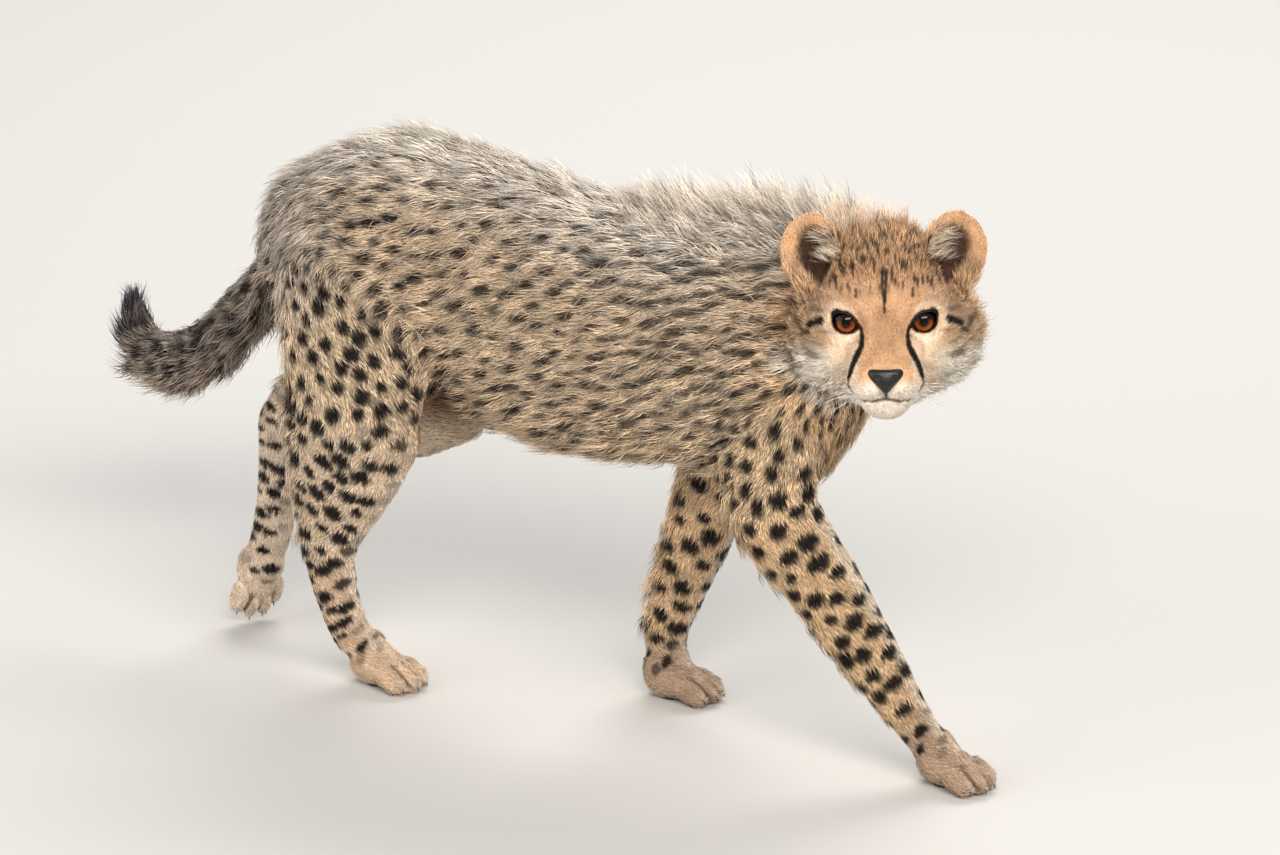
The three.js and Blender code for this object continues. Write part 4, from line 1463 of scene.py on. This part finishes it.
def eyeMaterial():
    material = bpy.data.materials.new("eye")
    material.use_nodes = True
    tree = material.node_tree
    link = tree.links.new
    shader = tree.nodes["Principled BSDF"]
    shader.inputs["Roughness"].default_value = 0.12
    shader.inputs["Specular IOR Level"].default_value = 0.05
    shader.inputs["Coat Weight"].default_value = 0.42
    shader.inputs["Coat Roughness"].default_value = 0.02
    shader.inputs["Coat IOR"].default_value = 1.4
    gaze = tree.nodes.new("ShaderNodeUVMap")
    gaze.uv_map = "gaze"
    away = tree.nodes.new("ShaderNodeVectorMath")
    away.operation = "LENGTH"
    link(gaze.outputs["UV"], away.inputs[0])
    ramp = tree.nodes.new("ShaderNodeValToRGB")
    stops = ramp.color_ramp.elements
    pupil, edge = eyes["pupil"] / eyes["mapWide"], eyes["iris"] / eyes["mapWide"]
    stops[0].position, stops[0].color = pupil * 0.9, (*eyes["black"], 1)
    stops[1].position, stops[1].color = edge * 1.04, (*eyes["black"], 1)
    middling = mix(pupil, edge, 0.55)
    for position, name in ((pupil * 1.1, "amber"), (middling, "bright"), (edge * 0.93, "rim")):
        stop = stops.new(position)
        stop.color = (*eyes[name], 1)
    link(away.outputs["Value"], ramp.inputs["Fac"])
    outwards = tree.nodes.new("ShaderNodeVectorMath")
    outwards.operation = "NORMALIZE"
    link(gaze.outputs["UV"], outwards.inputs[0])
    fibres = tree.nodes.new("ShaderNodeTexNoise")
    fibres.inputs["Scale"].default_value = 9
    fibres.inputs["Detail"].default_value = 4
    link(outwards.outputs["Vector"], fibres.inputs["Vector"])
    shade = tree.nodes.new("ShaderNodeMapRange")
    shade.inputs["From Min"].default_value = 0.3
    shade.inputs["From Max"].default_value = 0.7
    shade.inputs["To Min"].default_value = 0.55
    shade.inputs["To Max"].default_value = 1.45
    link(fibres.outputs["Fac"], shade.inputs["Value"])
    # Painted shadow of the upper lid: the iris darkens towards its top
    axes = tree.nodes.new("ShaderNodeSeparateXYZ")
    link(gaze.outputs["UV"], axes.inputs["Vector"])
    lidShadow = tree.nodes.new("ShaderNodeMapRange")
    lidShadow.inputs["From Min"].default_value = -0.08
    lidShadow.inputs["From Max"].default_value = 0.10
    lidShadow.inputs["To Min"].default_value = 1.25
    lidShadow.inputs["To Max"].default_value = 0.05
    link(axes.outputs["Y"], lidShadow.inputs["Value"])
    both = tree.nodes.new("ShaderNodeMath")
    both.operation = "MULTIPLY"
    link(shade.outputs["Result"], both.inputs[0])
    link(lidShadow.outputs["Result"], both.inputs[1])
    painted = tree.nodes.new("ShaderNodeVectorMath")
    painted.operation = "SCALE"
    link(ramp.outputs["Color"], painted.inputs[0])
    link(both.outputs["Value"], painted.inputs["Scale"])
    link(painted.outputs["Vector"], shader.inputs["Base Color"])
    return material


# Lid rims: a bare dark roll round each opening, thicker above, drawn out at both corners
rims = {"thick": 1.12, "sections": 10, "steps": 72, "radius": 13.5}


def rimMesh(name, side):
    w, h = lids["halfWidth"] + 0.7, lids["halfHeight"] + 0.65
    a, b, c = (math.radians(lids[k]) for k in ("turnOut", "turnUp", "tilt"))
    ahead = np.array([math.cos(a) * math.cos(b), math.sin(a) * math.cos(b), math.sin(b)])
    out = np.array([-math.sin(a), math.cos(a), 0])
    up = np.cross(ahead, out)
    across, above = out * math.cos(c) + up * math.sin(c), up * math.cos(c) - out * math.sin(c)
    rings = []
    for angle in np.linspace(0, 2 * math.pi, rims["steps"], endpoint=False):
        x, y = math.cos(angle), math.sin(angle)
        corner = abs(x) ** 6
        u = w * x * (1 + 0.10 * corner)
        v = h * np.sign(y) * abs(y) ** 1.12
        spot = across * u + above * v
        spot = spot + ahead * math.sqrt(max(rims["radius"] ** 2 - u * u - v * v, 1))
        rings.append((unit(spot), spot, rims["thick"] * (0.82 + 0.72 * max(y, 0)) * (1 + 0.2 * corner)))
    tube = []
    for i, (outward, spot, thick) in enumerate(rings):
        along = unit(rings[(i + 1) % len(rings)][1] - rings[i - 1][1])
        sideways = np.cross(outward, along)
        turn = np.linspace(0, 2 * math.pi, rims["sections"], endpoint=False)[:, None]
        tube.append(spot + thick * (np.cos(turn) * sideways * 1.15 + np.sin(turn) * outward * 0.8))
    tube = np.array(tube + tube[:1])
    tube = (tube + eyeAt) * [1, side, 1]
    mesh = loft(name, fromHead(tube), closed=False)
    weld(mesh)
    return mesh


def weld(mesh):
    shape = bmesh.new()
    shape.from_mesh(mesh)
    bmesh.ops.remove_doubles(shape, verts=shape.verts, dist=1e-6)
    bmesh.ops.recalc_face_normals(shape, faces=shape.faces)
    shape.to_mesh(mesh)
    shape.free()
    mesh.update()


# Nose: a pad with comma nostrils and a cleft, pebbled by its material
nosePad = {"sizes": [6.5, 14.5, 11.5], "step": 0.6, "tip": -0.25, "drop": 0.8}


def noseField(p):
    c, s = math.cos(nosePad["tip"]), math.sin(nosePad["tip"])
    q = p - noseAt + [0, 0, nosePad["drop"]]
    x, z = c * q[:, 0] - s * q[:, 2], s * q[:, 0] + c * q[:, 2]
    side = np.abs(q[:, 1])
    tapered = side / (0.30 + 0.62 * smoothStep(-11, 5, z))
    d = ellipsoid(np.stack([x, tapered, z], 1), [0, 0, 1], nosePad["sizes"])
    d = carve(d, 6.4 + 1.5 * (side / 12) ** 2 - z, 3)                  # flat top with raised corners
    p = np.stack([x, side, z], 1)
    d = carve(d, chain(p, [[7.6, 3.6, -0.6], [6.2, 6.6, 0.8], [4.6, 8.6, -0.8]], [1.1, 1.2, 0.7]), 1.0)
    return carve(d, rod(p, [7.2, 0, -9], [7.8, 0, 0], 0.8, 0.3), 1.4)


def noseMesh():
    low, high = noseAt - [12, 18, 13], noseAt + [12, 18, 13]
    points, quads = surfaceNet(noseField, low, high, nosePad["step"])
    mesh = rawMesh("nose_pad", fromHead(points), quads)
    setPoints(mesh, relaxed(pointsOf(mesh), edgesOf(mesh), 2))
    mesh.polygons.foreach_set("use_smooth", np.ones(len(quads), bool))
    return mesh


def bareMaterial(name, colour, roughness, scale, strength):
    material = plainMaterial(name, colour, roughness)
    tree = material.node_tree
    shader = tree.nodes["Principled BSDF"]
    where = tree.nodes.new("ShaderNodeTexCoord")
    pebbles = tree.nodes.new("ShaderNodeTexVoronoi")
    pebbles.inputs["Scale"].default_value = scale
    shade = tree.nodes.new("ShaderNodeMapRange")
    shade.inputs["From Max"].default_value = 0.7
    shade.inputs["To Min"].default_value = 1.5
    shade.inputs["To Max"].default_value = 0.5
    tone = tree.nodes.new("ShaderNodeVectorMath")
    tone.operation = "SCALE"
    tone.inputs[0].default_value = colour
    raised = tree.nodes.new("ShaderNodeBump")
    raised.invert = True
    raised.inputs["Strength"].default_value = strength
    raised.inputs["Distance"].default_value = 0.0004
    link = tree.links.new
    link(where.outputs["Object"], pebbles.inputs["Vector"])
    link(pebbles.outputs["Distance"], shade.inputs["Value"])
    link(shade.outputs["Result"], tone.inputs["Scale"])
    link(tone.outputs["Vector"], shader.inputs["Base Color"])
    link(pebbles.outputs["Distance"], raised.inputs["Height"])
    link(raised.outputs["Normal"], shader.inputs["Normal"])
    return material


def makeFace():
    iris = eyeMaterial()
    bare = bareMaterial("bare black skin", (0.004, 0.003, 0.0035), 0.36, 1400, 0.35)
    for side, name in ((1, "left"), (-1, "right")):
        finished(eyeMesh("eyeball_" + name, side), iris, "eye", "eye_" + name)
        finished(rimMesh("lid_rim_" + name, side), bare, "nose")
    finished(noseMesh(), bare, "nose", "nose")
    print("stage: eyes, lid rims and nose")


# Bare leather pads under each paw
def makePads():
    leather = bareMaterial("pad leather", (0.030, 0.021, 0.018), 0.6, 900, 0.5)
    points, faces, count = [], [], 0
    for at, yaw, pitch in pawPlaces().values():
        found, quads = surfaceNet(padField, [-18, -22, -2], [30, 22, 11], 1.1)
        points.append(pawTurned(found, at, yaw, pitch))
        faces.append(quads + count)
        count += len(found)
    mesh = rawMesh("foot_pads", np.concatenate(points), np.concatenate(faces))
    setPoints(mesh, relaxed(pointsOf(mesh), edgesOf(mesh), 2))
    mesh.polygons.foreach_set("use_smooth", np.ones(len(mesh.polygons), bool))
    finished(mesh, leather, "nose")
    print("stage: foot pads")


# Whiskers, brow hairs and claws: one bent taper set at each root along its own way
bristles = {
    "whiskers": {"thick": 0.0065, "bend": 0.22, "tip": 0.12, "sides": 5, "rings": 9},
    "claws": {"thick": 0.24, "bend": 0.42, "tip": 0.14, "sides": 10, "rings": 9},
}


def bristleTree(material):
    tree = bpy.data.node_groups.new("bristles", "GeometryNodeTree")
    group, link = tree.interface, tree.links.new
    group.new_socket("Geometry", in_out="INPUT", socket_type="NodeSocketGeometry")
    for name in ("Thickness", "Bend", "Tip"):
        group.new_socket(name, in_out="INPUT", socket_type="NodeSocketFloat")
    for name in ("Sides", "Rings"):
        group.new_socket(name, in_out="INPUT", socket_type="NodeSocketInt")
    group.new_socket("Geometry", in_out="OUTPUT", socket_type="NodeSocketGeometry")

    def node(kind, **settings):
        made = tree.nodes.new(kind)
        for key, value in settings.items():
            setattr(made, key, value)
        return made

    def kept(name, kind):
        made = node("GeometryNodeInputNamedAttribute", data_type=kind)
        made.inputs["Name"].default_value = name
        return made.outputs["Attribute"]

    given, result = node("NodeGroupInput"), node("NodeGroupOutput")
    end = node("ShaderNodeCombineXYZ")
    end.inputs["X"].default_value = 1
    drop = node("ShaderNodeMath", operation="MULTIPLY")
    drop.inputs[1].default_value = -1
    link(given.outputs["Bend"], drop.inputs[0])
    link(drop.outputs["Value"], end.inputs["Z"])
    line = node("GeometryNodeCurveQuadraticBezier")
    line.inputs["Start"].default_value = (0, 0, 0)
    line.inputs["Middle"].default_value = (0.5, 0, 0)
    link(end.outputs["Vector"], line.inputs["End"])
    link(given.outputs["Rings"], line.inputs["Resolution"])
    taper = node("ShaderNodeMapRange")
    link(node("GeometryNodeSplineParameter").outputs["Factor"], taper.inputs["Value"])
    taper.inputs["To Min"].default_value = 1
    link(given.outputs["Tip"], taper.inputs["To Max"])
    circle = node("GeometryNodeCurvePrimitiveCircle")
    link(given.outputs["Sides"], circle.inputs["Resolution"])
    link(given.outputs["Thickness"], circle.inputs["Radius"])
    bristle = node("GeometryNodeCurveToMesh")
    bristle.inputs["Fill Caps"].default_value = True
    link(line.outputs["Curve"], bristle.inputs["Curve"])
    link(circle.outputs["Curve"], bristle.inputs["Profile Curve"])
    link(taper.outputs["Result"], bristle.inputs["Scale"])
    along = node("FunctionNodeAlignRotationToVector", axis="X")
    link(kept("way", "FLOAT_VECTOR"), along.inputs["Vector"])
    above = node("FunctionNodeAlignRotationToVector", axis="Z", pivot_axis="X")
    link(along.outputs["Rotation"], above.inputs["Rotation"])
    each = node("GeometryNodeInstanceOnPoints")
    link(given.outputs["Geometry"], each.inputs["Points"])
    link(bristle.outputs["Mesh"], each.inputs["Instance"])
    link(above.outputs["Rotation"], each.inputs["Rotation"])
    link(kept("reach", "FLOAT"), each.inputs["Scale"])
    real = node("GeometryNodeRealizeInstances")
    link(each.outputs["Instances"], real.inputs["Geometry"])
    coloured = node("GeometryNodeSetMaterial")
    coloured.inputs["Material"].default_value = material
    link(real.outputs["Geometry"], coloured.inputs["Geometry"])
    link(coloured.outputs["Geometry"], result.inputs["Geometry"])
    return tree


def bristlePiece(name, style, places, ways, reach, material):
    mesh = bpy.data.meshes.new("roots")
    mesh.from_pydata([tuple(p) for p in places], [], [])
    flat = np.pad(mapPlace(np.array(places)), ((0, 0), (0, 1)))
    for kept, kind, field, values in (("way", "FLOAT_VECTOR", "vector", np.ravel(ways)),
                                      ("reach", "FLOAT", "value", np.array(reach, np.float32) * mm),
                                      ("rootMap", "FLOAT_VECTOR", "vector", flat.ravel())):
        layer = mesh.attributes.new(kept, kind, "POINT")
        layer.data.foreach_set(field, values.astype(np.float32))
    piece = place("bristles", mesh)
    change = piece.modifiers.new("bristles", "NODES")
    change.node_group = bristleTree(material)
    size = bristles[style]
    wanted = {"Thickness": size["thick"], "Bend": size["bend"], "Tip": size["tip"],
              "Sides": size["sides"], "Rings": size["rings"]}
    for item in change.node_group.interface.items_tree:
        if item.name in wanted:
            change[item.identifier] = wanted[item.name]
    made = evaluated(piece)
    made.name = name
    made.polygons.foreach_set("use_smooth", np.ones(len(made.polygons), bool))
    keepMap(made)
    piece = place(name, made)
    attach(piece, "root")
    print("stage:", name, len(reach), "bristles", len(made.polygons), "faces")


# Each bristle keeps a patch of the skin's map at its root's place
def keepMap(mesh):
    rooted = np.zeros(len(mesh.vertices) * 3, np.float32)
    mesh.attributes["rootMap"].data.foreach_get("vector", rooted)
    points = pointsOf(mesh)
    around = np.stack([np.sin(points[:, 0] * 900), np.sin(points[:, 2] * 900)], 1) * 0.5 * tuftShape["patch"]
    corners = np.zeros(len(mesh.loops), np.int32)
    mesh.loops.foreach_get("vertex_index", corners)
    uv = (rooted.reshape(-1, 3)[:, :2] + around)[corners].astype(np.float32)
    while mesh.uv_layers:
        mesh.uv_layers.remove(mesh.uv_layers[0])
    mesh.uv_layers.new(name="OFBake").data.foreach_set("uv", uv.ravel())
    mesh.attributes.remove(mesh.attributes["rootMap"])


# Rows of whiskers on the pads, a few hairs over each eye; sizes in millimetres in the head's frame
whiskerRows = {"rows": 4, "columns": 4, "front": (46, 13, -35), "down": (-1.0, 1.0, -3.0),
               "back": (-4.6, 2.4, -0.6), "long": (20, 38),
               "brows": 4, "browAt": (9, 27, 15), "browStep": (-1.5, 2.2, 0.8), "browLong": 22}


def makeWhiskers():
    tree = BVHTree.FromPolygons(skinPoints.tolist(), [tuple(p.vertices) for p in skinMesh.polygons])
    draw = np.random.default_rng(seed + 70)
    size = whiskerRows
    places, ways, reach = [], [], []
    for side in (1, -1):
        flip = np.array([1, side, 1])
        for row in range(size["rows"]):
            for column in range(size["columns"]):
                at = np.array(size["front"]) + row * np.array(size["down"])
                at = at + column * np.array(size["back"])
                way = unit(np.array([0.30 - 0.22 * column, 1, 0.10 - 0.16 * row]) + draw.normal(0, 0.07, 3))
                places.append(at * flip)
                ways.append(way * flip)
                reach.append(mix(*size["long"], column / 3) * draw.uniform(0.85, 1.1))
        for i in range(size["brows"]):
            places.append((np.array(size["browAt"]) + np.array(size["browStep"]) * i) * flip)
            ways.append(unit(np.array([0.5, 0.3 + 0.15 * i, 0.8]) + draw.normal(0, 0.07, 3)) * flip)
            reach.append(size["browLong"] * draw.uniform(0.8, 1.1))
    rooted = [tree.find_nearest(Vector(fromHead(p)))[0] for p in places]
    hair = bareMaterial("whisker", (0.80, 0.74, 0.66), 0.5, 300, 0.1)
    bristlePiece("whiskers", "whiskers", rooted, np.array(ways) @ headWay, reach, hair)


# Four claws to each paw, between the hair of the toes, each where its toe ends
claws = {"long": 6.2, "toes": ((16, -15), (22, -5.4), (22, 5.4), (16, 15))}


def makeClaws():
    places, ways, reach = [], [], []
    for at, yaw, pitch in pawPlaces().values():
        for toe, y in claws["toes"]:
            root = np.array([[toe + 4.5, y, 9.0], [toe + 5.5, y * 1.04, 8.3]])
            first, second = pawTurned(root, at, yaw, pitch)
            places.append(first)
            ways.append(unit(second - first))
            reach.append(claws["long"])
    horn = bareMaterial("claw", (0.055, 0.040, 0.032), 0.35, 500, 0.15)
    bristlePiece("claws", "claws", places, ways, reach, horn)


growCoat()
makeFace()
makeWhiskers()
makeClaws()
makePads()

# Floor, light and camera
studio = {
    "lookAt": (0.08272, 0.01436, 0.219), "turn": 25, "height": 20, "away": 6.0, "lens": 234.4,
    "floor": (0.54, 0.53, 0.515), "sky": (0.95, 0.97, 1.0), "skyStrength": 0.52,
}


def makeFloor():
    mesh = bpy.data.meshes.new("floor")
    mesh.from_pydata([(-6, -6, 0), (6, -6, 0), (6, 9, 0), (-6, 9, 0)], [], [(0, 1, 2, 3)])
    floor = place("floor", mesh)
    mesh.materials.append(plainMaterial("floor", studio["floor"], 0.9))


def aimed(thing, at, target):
    thing.location = at
    thing.rotation_euler = (Vector(target) - Vector(at)).to_track_quat("-Z", "Y").to_euler()
    bpy.context.scene.collection.objects.link(thing)


def softLight(name, at, size, power, colour):
    light = bpy.data.lights.new(name, "AREA")
    light.shape = "RECTANGLE"
    light.size, light.size_y = size
    light.energy = power
    light.color = colour
    aimed(bpy.data.objects.new(name, light), at, studio["lookAt"])


def makeStudio():
    makeFloor()
    softLight("key", (1.9, -2.2, 2.6), (2.8, 0.8), 142, (1.0, 0.94, 0.86))
    softLight("fill", (-2.4, -2.6, 1.4), (3.0, 3.0), 60, (1.0, 0.97, 0.94))
    softLight("back", (-0.4, 2.2, 2.6), (2.4, 1.2), 80, (1.0, 0.97, 0.92))
    world = bpy.data.worlds.new("studio")
    world.use_nodes = True
    background = world.node_tree.nodes["Background"]
    background.inputs["Color"].default_value = (*studio["sky"], 1)
    background.inputs["Strength"].default_value = studio["skyStrength"]
    bpy.context.scene.world = world
    bpy.context.scene.view_settings.view_transform = "Standard"
    turn, height = math.radians(studio["turn"]), math.radians(studio["height"])
    way = Vector((math.sin(turn) * math.cos(height), -math.cos(turn) * math.cos(height), math.sin(height)))
    lens = bpy.data.cameras.new("camera")
    lens.lens = studio["lens"]
    lens.sensor_width = 36
    lens.clip_end = 50
    camera = bpy.data.objects.new("camera", lens)
    aimed(camera, Vector(studio["lookAt"]) + way * studio["away"], studio["lookAt"])
    bpy.context.scene.camera = camera


makeStudio()
